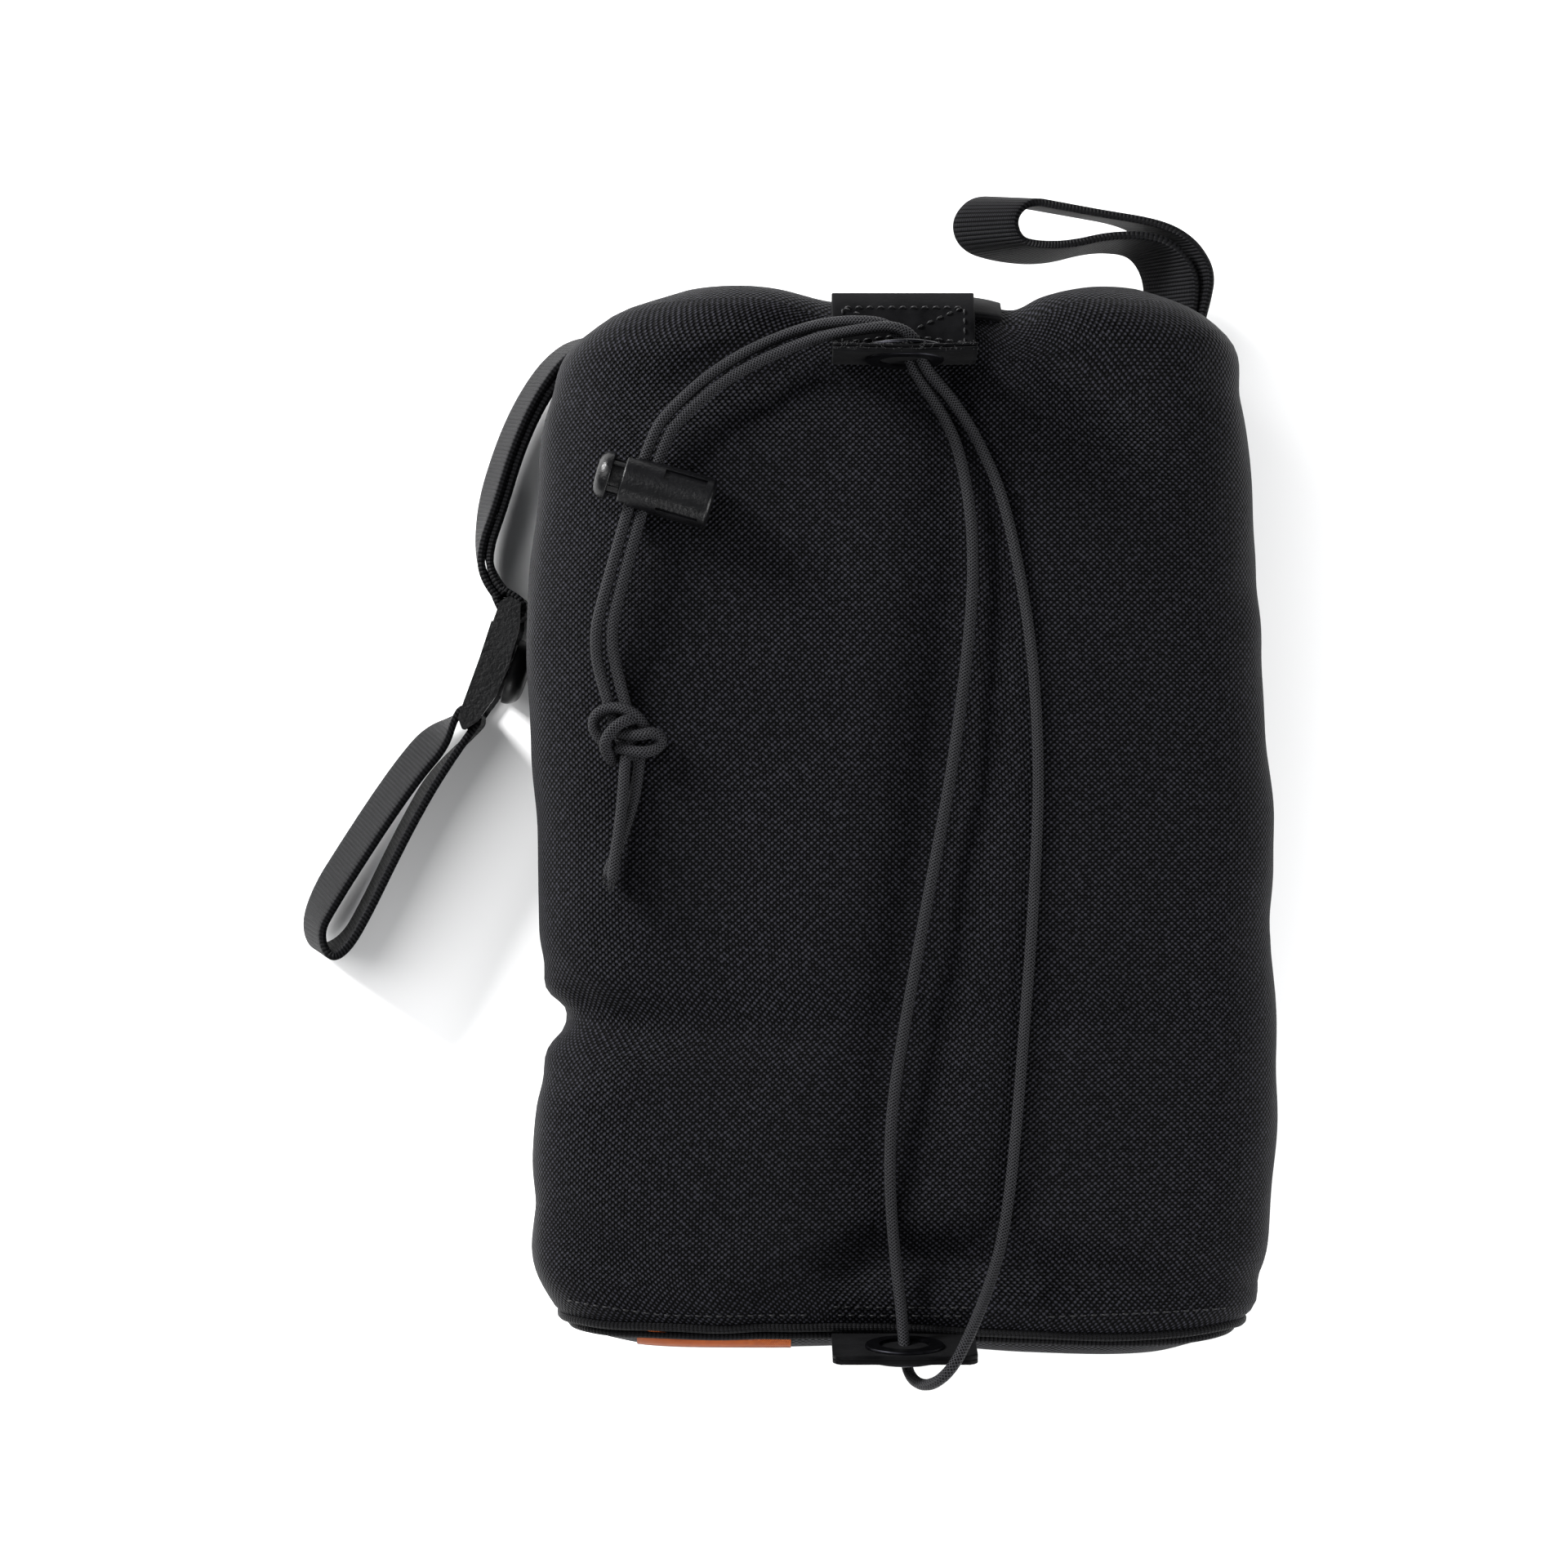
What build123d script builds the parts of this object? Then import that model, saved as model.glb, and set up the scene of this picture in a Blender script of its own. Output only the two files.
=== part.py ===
from build123d import *
from math import cos, degrees, radians, sin, tan
import os

os.makedirs("parts", exist_ok=True)

# A stuffed support bag lying on its back. Millimetres. +X is to the right and +Y is towards
# the top seam, seen from the front face. +Z is up, out of the front face.
# The origin is the middle of the flat underside.

# ---- driving dimensions -------------------------------------------------------------------
BAG_WIDTH = 187.0
BAG_LENGTH = 265.0
BAG_THICK = 90.0
SIDE_ROUND = 38.0        # rounding of the long edges
END_ROUND = 16.0         # rounding of the short edges
TOP_CORNER = 38.0        # plan radius of the two top corners
BOTTOM_CORNER = 14.0     # plan radius of the two bottom corners
COVER_WALL = 1.2         # woven nylon with its coating and seam allowance
LINER_WALL = 0.8
SOFT_GAP = 0.3           # clearance between soft pieces

WEB_WIDTH = 20.0
WEB_THICK = 2.0

TAB_X = -1.0             # middle of both eyelet tabs
TAB_WIDTH = 35.0
TAB_THICK = 2.2          # coated fabric folded double
TAB_TILT = 6.0           # degrees, shelves lean away from the middle of the bag
TAB_DEPTH = 22.0         # how far a shelf stands out of the front face
TAB_CORNER = 1.8         # bend of the top tab and rounding of the bottom tab's outer corners
TAB_HIDDEN = 3.6         # part of the bottom tab inside the seam
TOP_SHELF_Y = 111.8      # where the top shelf leaves the front face
BOTTOM_SHELF_Y = 127.4   # the same for the bottom shelf, towards the bottom

EYELET_HOLE_R = 6.2
EYELET_WALL = 0.8
EYELET_FLANGE_R = 9.6
EYELET_FLANGE_T = 0.8

CORD_D = 2.8

LOCK_CENTRE = Vector(-61.8, 80.8, 97.0)
LOCK_AXIS = Vector(0.9615, -0.2749, 0.0)     # from the button to the closed end
LOCK_R = 6.35
LOCK_HALF = 14.5                             # half of the length over the button
LOCK_TRAVEL = 3.0                            # button travel
LOCK_BORE_R = 4.9
PLUNGER_R = 4.6

STRAP_LOW = 2.0          # height of the lower edge of the side strap
LOOP_LOW = 12.0          # height of the lower edge of the pull loop
BUCKLE_HEIGHT = 24.0
BUCKLE_PLATE = 1.8       # thickness of the buckle's side plates
BUCKLE_BAR_R = 1.5

# ---- worked out ---------------------------------------------------------------------------
HALF_W = BAG_WIDTH / 2
HALF_L = BAG_LENGTH / 2
CORD_R = CORD_D / 2
EYELET_ALONG = TAB_DEPTH - EYELET_FLANGE_R - 0.8     # from a shelf's root to its eyelet
SEAM_Y = -(HALF_L - 6.0)          # plane of the bottom seam
TOP_SEAM_Y = HALF_L - 6.0         # plane of the top seam


def rounded_outline(half_x, low_y, high_y, low_round, high_round):
    """A closed face in XY with its own radius for the lower and the upper corners."""
    box = Pos(0, (low_y + high_y) / 2) * Rectangle(2 * half_x, high_y - low_y)
    lower = [v for v in box.vertices() if v.Y < (low_y + high_y) / 2]
    box = fillet(lower, low_round)
    upper = [v for v in box.vertices() if v.Y > high_y - 0.001]
    return fillet(upper, high_round)


def bag_body(inset):
    """The stuffed outer form, moved inwards all round by inset."""
    half_x = HALF_W - inset
    half_y = HALF_L - inset
    low_z = inset
    high_z = BAG_THICK - inset
    side_round = SIDE_ROUND - inset
    end_round = END_ROUND - inset
    plan = rounded_outline(half_x, -half_y, half_y, BOTTOM_CORNER - inset, TOP_CORNER - inset)
    upright = extrude(plan, BAG_THICK)
    across = Plane.XZ * rounded_outline(half_x, low_z, high_z, side_round, side_round)
    across = extrude(across, BAG_LENGTH, both=True)
    along = Plane.YZ * rounded_outline(half_y, low_z, high_z, end_round, end_round)
    along = extrude(along, BAG_WIDTH, both=True)
    return upright & across & along


def slab(low_y, high_y):
    """Everything between two planes across the bag's length."""
    return Pos(0, (low_y + high_y) / 2, 0) * Box(4 * BAG_WIDTH, high_y - low_y, 4 * BAG_WIDTH)


# ---- cover, liner and fill ----------------------------------------------------------------
def make_cover():
    shell = bag_body(0) - bag_body(COVER_WALL)
    wrap = shell & slab(SEAM_Y, TOP_SEAM_Y)
    bottom = shell & slab(-2 * BAG_LENGTH, SEAM_Y)
    top = shell & slab(TOP_SEAM_Y, 2 * BAG_LENGTH)
    return wrap, top, bottom


def make_liner_and_fill():
    liner_inset = COVER_WALL + SOFT_GAP
    fill_inset = liner_inset + LINER_WALL + SOFT_GAP
    liner = bag_body(liner_inset) - bag_body(liner_inset + LINER_WALL)
    return liner, bag_body(fill_inset)


def make_binding():
    """Two ribs of seam tape on the bottom seam, standing proud of the cover."""
    rib_width = 2.0
    rib_gap = 0.6
    proud = 1.1
    inside = bag_body(0)
    above_floor = Pos(0, 0, BAG_THICK) * Box(2 * BAG_WIDTH, 2 * BAG_LENGTH, 2 * BAG_THICK)
    ribs = []
    for number in (0, 1):
        high = SEAM_Y + rib_width + number * (rib_width + rib_gap)
        band = slab(high - rib_width, high)
        face = section(inside, section_by=Plane(origin=(0, high - rib_width, 0), z_dir=(0, 1, 0)))
        outer = offset(face, proud)
        rib = extrude(outer, rib_width, dir=(0, 1, 0)) - inside
        ribs.append(rib & band & above_floor)
    return ribs[0] + ribs[1]


def make_label():
    """A blank woven label sewn to the front edge of the bottom panel."""
    width = 38.0
    height = 7.0
    thick = 0.6
    middle_x = -47.5
    angle = radians(35)      # round the bag's lower edge, from the front face
    lift = 1.6               # clears the seam tape and the curve of the edge
    reach = END_ROUND + thick / 2 + lift
    centre_y = -(HALF_L - END_ROUND) - reach * sin(angle)
    centre_z = BAG_THICK - END_ROUND + reach * cos(angle)
    return Pos(middle_x, centre_y, centre_z) * Rot(degrees(angle), 0, 0) * Box(width, height, thick)


# ---- eyelet tabs --------------------------------------------------------------------------
def thick_line(points, radii, thickness):
    """A face that follows a polyline with tangent arcs, with round ends."""
    path = FilletPolyline(*points, radius=radii)
    return make_face(path.wire().offset_2d(thickness / 2, side=Side.BOTH))


def mirrored(piece):
    """The same piece at the bag's other end."""
    return mirror(piece, about=Plane.XZ)


def tab_frame(end_y):
    """The point where a shelf leaves the front face, in (Y, Z)."""
    return end_y, BAG_THICK + 0.2 + TAB_THICK / 2


def make_top_tab():
    """A strip over the rounded end of the bag that turns outwards into a shelf."""
    wrap_r = END_ROUND + 0.1 + TAB_THICK / 2
    root_y, root_z = tab_frame(TOP_SHELF_Y)
    diagonal = (HALF_L - END_ROUND) + (BAG_THICK - END_ROUND) + wrap_r * 2 ** 0.5
    bend = (diagonal - root_z, root_z)
    tail_reach = 6.2         # how far the sewn end runs down the slope
    tail = (bend[0] + tail_reach, root_z - tail_reach)
    lean = radians(TAB_TILT)
    tip = (root_y + TAB_DEPTH * tan(lean), root_z + TAB_DEPTH)
    outline = thick_line([tail, bend, (root_y, root_z), tip], [wrap_r, TAB_CORNER], TAB_THICK)
    strip = extrude(Plane.YZ * outline, TAB_WIDTH / 2, both=True)
    return Pos(TAB_X, 0, 0) * strip - eyelet_cut(eyelet_place(TOP_SHELF_Y))


def make_bottom_tab():
    """A flat shelf with rounded outer corners that comes out of the bottom seam."""
    place = eyelet_place(BOTTOM_SHELF_Y)
    seam_side = EYELET_ALONG + TAB_HIDDEN
    open_side = TAB_DEPTH - EYELET_ALONG
    face = Pos(0, (seam_side - open_side) / 2) * Rectangle(TAB_WIDTH, seam_side + open_side)
    face = fillet(face.vertices().group_by(Axis.Y)[0], TAB_CORNER)
    plate = place * extrude(face, TAB_THICK / 2, both=True)
    return mirrored(plate - eyelet_cut(place))


def eyelet_place(shelf_y):
    """The middle of the eyelet hole, and the shelf's outward direction."""
    lean = radians(TAB_TILT)
    root_y, root_z = tab_frame(shelf_y)
    centre_y = root_y + EYELET_ALONG * sin(lean)
    centre = Vector(TAB_X, centre_y, root_z + EYELET_ALONG * cos(lean))
    normal = Vector(0, cos(lean), -sin(lean))
    return Plane(origin=centre, x_dir=(1, 0, 0), z_dir=normal)


def make_eyelet(place):
    """The barrel half: a tube with a domed flange under the shelf."""
    half = TAB_THICK / 2
    tube = Cylinder(EYELET_HOLE_R + EYELET_WALL, TAB_THICK + 2 * EYELET_FLANGE_T)
    flange = Pos(0, 0, -half - EYELET_FLANGE_T / 2) * Cylinder(EYELET_FLANGE_R, EYELET_FLANGE_T)
    flange = fillet(flange.edges().group_by(Axis.Z)[0], EYELET_FLANGE_T * 0.6)
    return place * (tube + flange - Cylinder(EYELET_HOLE_R, 4 * TAB_THICK))


def make_washer(place):
    """The washer half: a ring round the tube on top of the shelf."""
    half = TAB_THICK / 2
    ring = Pos(0, 0, half + EYELET_FLANGE_T / 2) * Cylinder(EYELET_FLANGE_R, EYELET_FLANGE_T)
    ring = fillet(ring.edges().group_by(Axis.Z)[-1], EYELET_FLANGE_T * 0.6)
    return place * (ring - Cylinder(EYELET_HOLE_R + EYELET_WALL, 4 * TAB_THICK))


def eyelet_cut(place):
    return place * Cylinder(EYELET_HOLE_R + EYELET_WALL, 4 * TAB_THICK)


def make_tab_patch():
    """A coated patch under the right side of the top tab, folded over the top edge."""
    width = 13.0
    height = 7.0
    thick = 1.6
    slope = 58.0             # degrees round the bag's top edge, from the front face
    reach = END_ROUND + thick
    y = HALF_L - END_ROUND + reach * sin(radians(slope))
    z = BAG_THICK - END_ROUND + reach * cos(radians(slope))
    middle_x = TAB_X + TAB_WIDTH / 2 + width / 2 + 0.5
    return Pos(middle_x, y, z) * Rot(-slope, 0, 0) * Box(width, height, thick)


# ---- shock cord ---------------------------------------------------------------------------
def lock_point(along, beside, height=0.0):
    """A point beside the lock: along its axis, then along the cord's way to the knot."""
    way = Vector(LOCK_AXIS.Y, -LOCK_AXIS.X, 0)
    return LOCK_CENTRE + LOCK_AXIS * along + way * beside + Vector(0, 0, height)


STRAND_LEFT = -4.7       # places of the two strands along the lock's axis
STRAND_RIGHT = -1.3
ABOVE = -12.0            # ends of the straight stretch that the lock slides on
BELOW = 30.0

CORD_ROUTE = [
    Vector(-72.4, 26.6, 93.0),
    Vector(-75.6, 36.0, 93.6),
    Vector(-76.4, 45.0, 95.6),
    lock_point(STRAND_LEFT, BELOW),
    lock_point(STRAND_LEFT, ABOVE),
    Vector(-56.6, 101.4, 95.8),
    Vector(-48.4, 108.8, 94.0),
    Vector(-39.6, 114.4, 93.2),
    Vector(-30.6, 118.3, 93.6),
    Vector(-21.5, 120.9, 96.2),
    Vector(-13.0, 121.4, 100.2),
    Vector(-5.0, 120.6, 101.4),
    Vector(-0.8, 115.8, 101.6),
    Vector(0.8, 110.0, 100.2),
    Vector(5.0, 104.2, 95.6),
    Vector(9.2, 98.0, 92.6),
    Vector(12.6, 90.5, 92.0),
    Vector(15.4, 76.5, 92.0),
    Vector(16.2, 60.5, 92.0),
    Vector(14.7, 40.7, 92.0),
    Vector(10.7, 10.8, 92.0),
    Vector(5.7, -15.2, 92.0),
    Vector(-0.2, -47.1, 92.0),
    Vector(-3.8, -69.1, 92.0),
    Vector(-4.5, -85.0, 92.0),
    Vector(-3.8, -99.0, 92.0),
    Vector(-2.6, -111.0, 93.0),
    Vector(-1.6, -120.0, 97.0),
    Vector(-1.0, -128.0, 101.0),
    Vector(0.0, -135.0, 104.2),
    Vector(4.5, -136.4, 112.0),
    Vector(10.0, -131.5, 118.0),
    Vector(15.0, -122.5, 112.0),
    Vector(19.2, -114.0, 102.0),
    Vector(22.8, -104.0, 94.4),
    Vector(25.2, -90.0, 92.0),
    Vector(27.0, -71.0, 92.0),
    Vector(28.7, -49.1, 92.0),
    Vector(30.7, -23.1, 92.0),
    Vector(32.1, 4.8, 92.0),
    Vector(31.7, 24.8, 92.0),
    Vector(30.1, 44.7, 92.0),
    Vector(26.7, 64.7, 92.0),
    Vector(22.8, 80.7, 92.0),
    Vector(17.4, 92.5, 92.2),
    Vector(13.4, 99.0, 93.6),
    Vector(8.6, 105.0, 97.4),
    Vector(3.2, 110.6, 102.2),
    Vector(2.1, 116.2, 104.6),
    Vector(-3.0, 119.8, 105.0),
    Vector(-12.6, 118.8, 103.2),
    Vector(-21.2, 117.6, 98.8),
    Vector(-29.6, 114.9, 95.2),
    Vector(-37.9, 111.2, 94.0),
    Vector(-46.2, 106.2, 94.4),
    Vector(-53.8, 99.4, 96.0),
    lock_point(STRAND_RIGHT, ABOVE),
    lock_point(STRAND_RIGHT, BELOW),
    Vector(-72.4, 43.8, 95.6),
    Vector(-70.8, 35.2, 93.8),
    Vector(-68.6, 27.0, 93.0),
]

TAIL_ROUTES = [
    [
        Vector(-68.9, 15.4, 94.2),
        Vector(-69.4, 7.5, 94.6),
        Vector(-70.1, 0.0, 94.9),
        Vector(-71.3, -8.0, 94.9),
        Vector(-72.2, -15.6, 94.6),
    ],
    [
        Vector(-65.4, 15.6, 92.3),
        Vector(-66.2, 7.5, 91.9),
        Vector(-68.4, 0.0, 91.8),
        Vector(-71.0, -7.5, 91.8),
        Vector(-73.6, -14.2, 91.8),
    ],
]


def corner_radii(points):
    """The largest arc that the two runs at each corner allow."""
    radii = []
    for before, here, after in zip(points, points[1:], points[2:]):
        turn = radians((here - before).get_angle(after - here))
        shorter = min((here - before).length, (after - here).length)
        radii.append(0.45 * shorter / tan(turn / 2))
    return radii


def cord_tube(name, points):
    """A round tube along straight runs joined by tangent arcs."""
    radii = corner_radii(points)
    path = FilletPolyline(*points, radius=radii)
    tube = sweep(Plane(origin=path @ 0, z_dir=path % 0) * Circle(CORD_R), path=path)
    expected = path.length * 3.14159265 * CORD_R ** 2
    print(name, "length", round(path.length, 1), "volume ratio", round(tube.volume / expected, 4))
    print(name, "smallest radii", [round(r, 1) for r in sorted(radii)[:8]])
    return tube


KNOT_CENTRE = Vector(-68.5, 21.0, 93.6)


def make_knot():
    """The overhand knot that joins both strands, as one closed outer shape."""
    knot = Cylinder(7.2, 6.4)
    knot = fillet(knot.edges(), 2.9)
    return Pos(KNOT_CENTRE) * knot


# ---- cord lock ----------------------------------------------------------------------------
LOCK_PLACE = Plane(origin=LOCK_CENTRE, x_dir=(0, 0, 1), z_dir=LOCK_AXIS)
BUTTON_HEAD = 3.5                            # height of the mushroom button
PLUNGER_END = 3.0                            # inner end of the plunger along the lock
END_WALL = 2.0
BARREL_START = -LOCK_HALF + BUTTON_HEAD + LOCK_TRAVEL
BARREL_LENGTH = LOCK_HALF - BARREL_START
STRANDS_MIDDLE = (STRAND_LEFT + STRAND_RIGHT) / 2
HOLE_HALF = (STRAND_RIGHT - STRAND_LEFT) / 2 + CORD_R + 0.4
HOLE_RISE = CORD_D + 0.8


def cord_hole(low, high):
    """A slot across the lock for both strands. Local Z is the lock's axis, local X is up."""
    slot = SlotOverall(high - low, HOLE_RISE)
    slot = Plane(origin=(0, 0, (low + high) / 2), x_dir=(0, 0, 1), z_dir=(0, 1, 0)) * slot
    return extrude(slot, 2 * LOCK_R, both=True)


def make_lock_barrel():
    """The outer sleeve: bored from the button end, with a hole in its closed end."""
    end_hole_r = 2.2
    barrel = Pos(0, 0, BARREL_START + BARREL_LENGTH / 2) * Cylinder(LOCK_R, BARREL_LENGTH)
    barrel = fillet(barrel.edges().group_by(Axis.Z)[-1], 1.0)
    barrel = fillet(barrel.edges().group_by(Axis.Z)[0], 0.5)
    bore_length = BARREL_LENGTH - END_WALL
    bore = Pos(0, 0, BARREL_START + bore_length / 2) * Cylinder(LOCK_BORE_R, bore_length)
    barrel = barrel - bore - Pos(0, 0, LOCK_HALF) * Cylinder(end_hole_r, 4 * END_WALL)
    barrel = barrel - cord_hole(STRANDS_MIDDLE - HOLE_HALF, STRANDS_MIDDLE + HOLE_HALF)
    window = Box(1.6, 3.4, 10.5)
    window_middle = 7.0
    for angle in (38, 142, 218, 322):
        barrel = barrel - Rot(0, 0, angle) * Pos(LOCK_R, 0, window_middle) * window
    for side in (-1, 1):
        scallop = Pos(0, side * LOCK_R, BARREL_START) * Rot(0, 90, 0) * Cylinder(2.6, 6.4)
        barrel = barrel - scallop
    return LOCK_PLACE * barrel


def make_lock_plunger():
    """The sprung plunger: mushroom button, ribbed neck and a slot for the strands."""
    head_r = 6.0
    head_low = -LOCK_HALF + BUTTON_HEAD
    dome = Pos(0, 0, head_low - BUTTON_HEAD / 2) * Cylinder(head_r, BUTTON_HEAD)
    dome = fillet(dome.edges().group_by(Axis.Z)[0], 3.0)
    dome = fillet(dome.edges().group_by(Axis.Z)[-1], 0.3)
    stem = Pos(0, 0, (head_low + PLUNGER_END) / 2) * Cylinder(PLUNGER_R, PLUNGER_END - head_low)
    plunger = dome + stem
    for angle in range(0, 360, 30):
        groove = Pos(PLUNGER_R, 0, head_low + 1.5) * Box(0.5, 0.8, 3.0)
        plunger = plunger - Rot(0, 0, angle) * groove
    low = STRANDS_MIDDLE - HOLE_HALF - LOCK_TRAVEL
    return LOCK_PLACE * (plunger - cord_hole(low, STRANDS_MIDDLE + HOLE_HALF))


def make_lock_spring():
    """The spring's outer form at its pressed length, between the plunger and the end wall."""
    low = PLUNGER_END + LOCK_TRAVEL + 0.3
    high = LOCK_HALF - END_WALL
    ring = Cylinder(3.9, high - low) - Cylinder(3.1, 2 * (high - low))
    return LOCK_PLACE * Pos(0, 0, (low + high) / 2) * ring


# ---- webbing ------------------------------------------------------------------------------
def webbing(points, radii, low_z, thickness, width=WEB_WIDTH):
    """A strip of webbing that stands on its edge along a path in XY."""
    return Pos(0, 0, low_z) * extrude(thick_line(points, radii, thickness), width)


STRAP_PIVOT = (-83.8, 123.6)
STRAP_ROUTE = [
    STRAP_PIVOT,
    (-89.2, 119.2),
    (-94.2, 112.6),
    (-98.6, 103.6),
    (-102.6, 93.6),
    (-106.0, 81.4),
    (-108.2, 69.6),
    (-107.2, 62.4),
    (-103.0, 57.2),
]
BUCKLE_TOP = (-101.2, 57.4)
BUCKLE_WAY = Vector(-0.308, -0.951, 0)        # along the buckle, away from the strap
BUCKLE_BACK = Vector(0.951, -0.308, 0)        # out of the buckle's back, to the bag
STUD_ALONG = 18.3
STUD_R = 8.6
POCKET_DEPTH = 2.0
MAGNET_R = 5.0


def buckle_place():
    """Local X runs along the buckle, local Y out of its back and local Z up."""
    return Plane(origin=(*BUCKLE_TOP, 0), x_dir=BUCKLE_WAY, z_dir=(0, 0, 1))


def make_strap_anchor():
    """The sewn end of the side strap, lying on the bag's corner."""
    route = [(-71.0, 131.4), (-75.2, 129.2), (-79.2, 126.5)]
    return webbing(route, corner_radii([Vector(*p) for p in route]), STRAP_LOW, WEB_THICK)


def make_side_strap():
    """Doubled webbing from the anchor to the buckle's upper bar."""
    doubled = 2 * WEB_THICK + 0.2
    radii = corner_radii([Vector(*p) for p in STRAP_ROUTE])
    return webbing(STRAP_ROUTE, radii, STRAP_LOW, doubled)


def make_buckle():
    """Ladder-lock frame: two side plates joined by three bars and a back plate."""
    front = [(2.0, -1.8), (34.0, -3.0), (37.0, -0.6)]
    back = [(33.3, 2.2), (26.0, 4.6), (17.7, 5.6), (7.0, 5.0), (0.6, 3.4), (0.0, 0.0)]
    side = make_face(Polyline(*front, *back, close=True))
    side = fillet(side.vertices(), 0.8)
    low_plate = extrude(side, BUCKLE_PLATE)
    high_plate = Pos(0, 0, BUCKLE_HEIGHT - BUCKLE_PLATE) * low_plate
    middle = BUCKLE_HEIGHT / 2
    upper_bar = Pos(2.6, 1.6, middle) * Cylinder(BUCKLE_BAR_R, BUCKLE_HEIGHT)
    lower_bar = Pos(33.4, -0.6, middle) * Cylinder(BUCKLE_BAR_R, BUCKLE_HEIGHT)
    front_bar = Pos(14.5, -1.6, middle) * Box(14.0, 1.6, BUCKLE_HEIGHT)
    back_plate = Pos(STUD_ALONG, 4.1, middle) * Box(14.0, 1.6, BUCKLE_HEIGHT)
    frame = low_plate + high_plate + upper_bar + lower_bar + front_bar + back_plate
    return buckle_place() * frame


def make_stud():
    """The round snap stud on the back of the buckle, hollow for its magnet."""
    height = 4.4
    stud = Cylinder(STUD_R, height)
    stud = fillet(stud.edges().group_by(Axis.Z)[-1], 3.8)
    pocket = Pos(0, 0, -height / 2 + POCKET_DEPTH / 2) * Cylinder(MAGNET_R + 0.2, POCKET_DEPTH)
    return stud_place() * Pos(0, 0, height / 2) * (stud - pocket)


def stud_place():
    """The seat of the stud on the back plate, local Z out of the buckle's back."""
    seat_out = 5.7
    seat = Vector(*BUCKLE_TOP, BUCKLE_HEIGHT / 2) + BUCKLE_WAY * STUD_ALONG + BUCKLE_BACK * seat_out
    return Plane(origin=seat, x_dir=(0, 0, 1), z_dir=BUCKLE_BACK)


def make_magnet():
    """The disc magnet in the stud's pocket."""
    thick = POCKET_DEPTH - 0.2
    return stud_place() * Pos(0, 0, POCKET_DEPTH / 2) * Cylinder(MAGNET_R, thick)


END_LOOP_OUTER = [
    (-115.4, 27.6),
    (-120.6, 23.0),
    (-127.0, 15.4),
    (-135.0, 4.6),
    (-143.6, -8.4),
    (-150.4, -18.8),
    (-154.4, -27.6),
    (-152.2, -34.6),
    (-145.6, -32.0),
]
END_LOOP_INNER = [
    (-139.6, -23.4),
    (-133.4, -10.6),
    (-127.4, 1.0),
    (-121.4, 13.0),
    (-116.0, 21.4),
]


def make_end_loop():
    """A narrow loop of webbing that leaves the buckle's lower bar and comes back to it."""
    route = END_LOOP_OUTER + END_LOOP_INNER
    return webbing(route, corner_radii([Vector(*p) for p in route]), STRAP_LOW, WEB_THICK)


PULL_PIVOT = (74.6, 136.4)
PULL_OUTER = [
    (76.9, 136.2),
    (79.0, 143.0),
    (76.2, 149.6),
    (69.0, 153.4),
    (58.0, 155.6),
    (44.0, 157.8),
    (30.0, 159.6),
    (22.4, 157.0),
    (22.6, 149.0),
]
PULL_INNER = [
    (31.0, 145.6),
    (43.0, 147.2),
    (54.6, 150.6),
    (64.6, 149.6),
    (71.2, 144.6),
    (72.4, 136.6),
]


def make_pull_loop():
    """A loop of doubled webbing that curls to the left above the top seam."""
    route = PULL_OUTER + PULL_INNER
    loop = webbing(route, corner_radii([Vector(*p) for p in route]), LOOP_LOW, WEB_THICK)
    foot = Pos(*PULL_PIVOT, LOOP_LOW + WEB_WIDTH / 2) * Cylinder(2.2, WEB_WIDTH)
    return loop + foot


def make_pull_root():
    """The sewn end of the pull loop, standing out of the top seam."""
    width = 4.4
    length = 14.0
    high = PULL_PIVOT[1] - 3.4       # clears the loop's foot as it swings
    stub = Pos(PULL_PIVOT[0], high - length / 2, LOOP_LOW + WEB_WIDTH / 2)
    return stub * Box(width, length, WEB_WIDTH) - bag_body(-0.05)


# ---- write every piece --------------------------------------------------------------------
def build():
    wrap, top_panel, bottom_panel = make_cover()
    liner, fill = make_liner_and_fill()
    top_place = eyelet_place(TOP_SHELF_Y)
    low_place = eyelet_place(BOTTOM_SHELF_Y)
    tails = [cord_tube("cord_tail", route) for route in TAIL_ROUTES]
    return {
        "cover_wrap": wrap,
        "cover_top_panel": top_panel,
        "cover_bottom_panel": bottom_panel,
        "bottom_seam_binding": make_binding(),
        "fill_liner": liner,
        "bead_fill": fill,
        "blank_label": make_label(),
        "top_tab": make_top_tab(),
        "top_tab_patch": make_tab_patch(),
        "top_eyelet": make_eyelet(top_place),
        "top_eyelet_washer": make_washer(top_place),
        "bottom_tab": make_bottom_tab(),
        "bottom_eyelet": mirrored(make_eyelet(low_place)),
        "bottom_eyelet_washer": mirrored(make_washer(low_place)),
        "shock_cord": cord_tube("shock_cord", CORD_ROUTE),
        "cord_knot": make_knot(),
        "cord_tails": Compound(children=tails),
        "cord_lock_barrel": make_lock_barrel(),
        "cord_lock_plunger": make_lock_plunger(),
        "cord_lock_spring": make_lock_spring(),
        "strap_anchor": make_strap_anchor(),
        "side_strap": make_side_strap(),
        "strap_buckle": make_buckle(),
        "snap_stud": make_stud(),
        "snap_magnet": make_magnet(),
        "strap_end_loop": make_end_loop(),
        "pull_loop_root": make_pull_root(),
        "pull_loop": make_pull_loop(),
    }


for node, piece in build().items():
    export_step(piece, f"parts/{node}.step")
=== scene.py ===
import bpy
import bmesh
import math
import random
import numpy as np
from mathutils import Matrix, Vector
from mathutils.bvhtree import BVHTree


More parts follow.
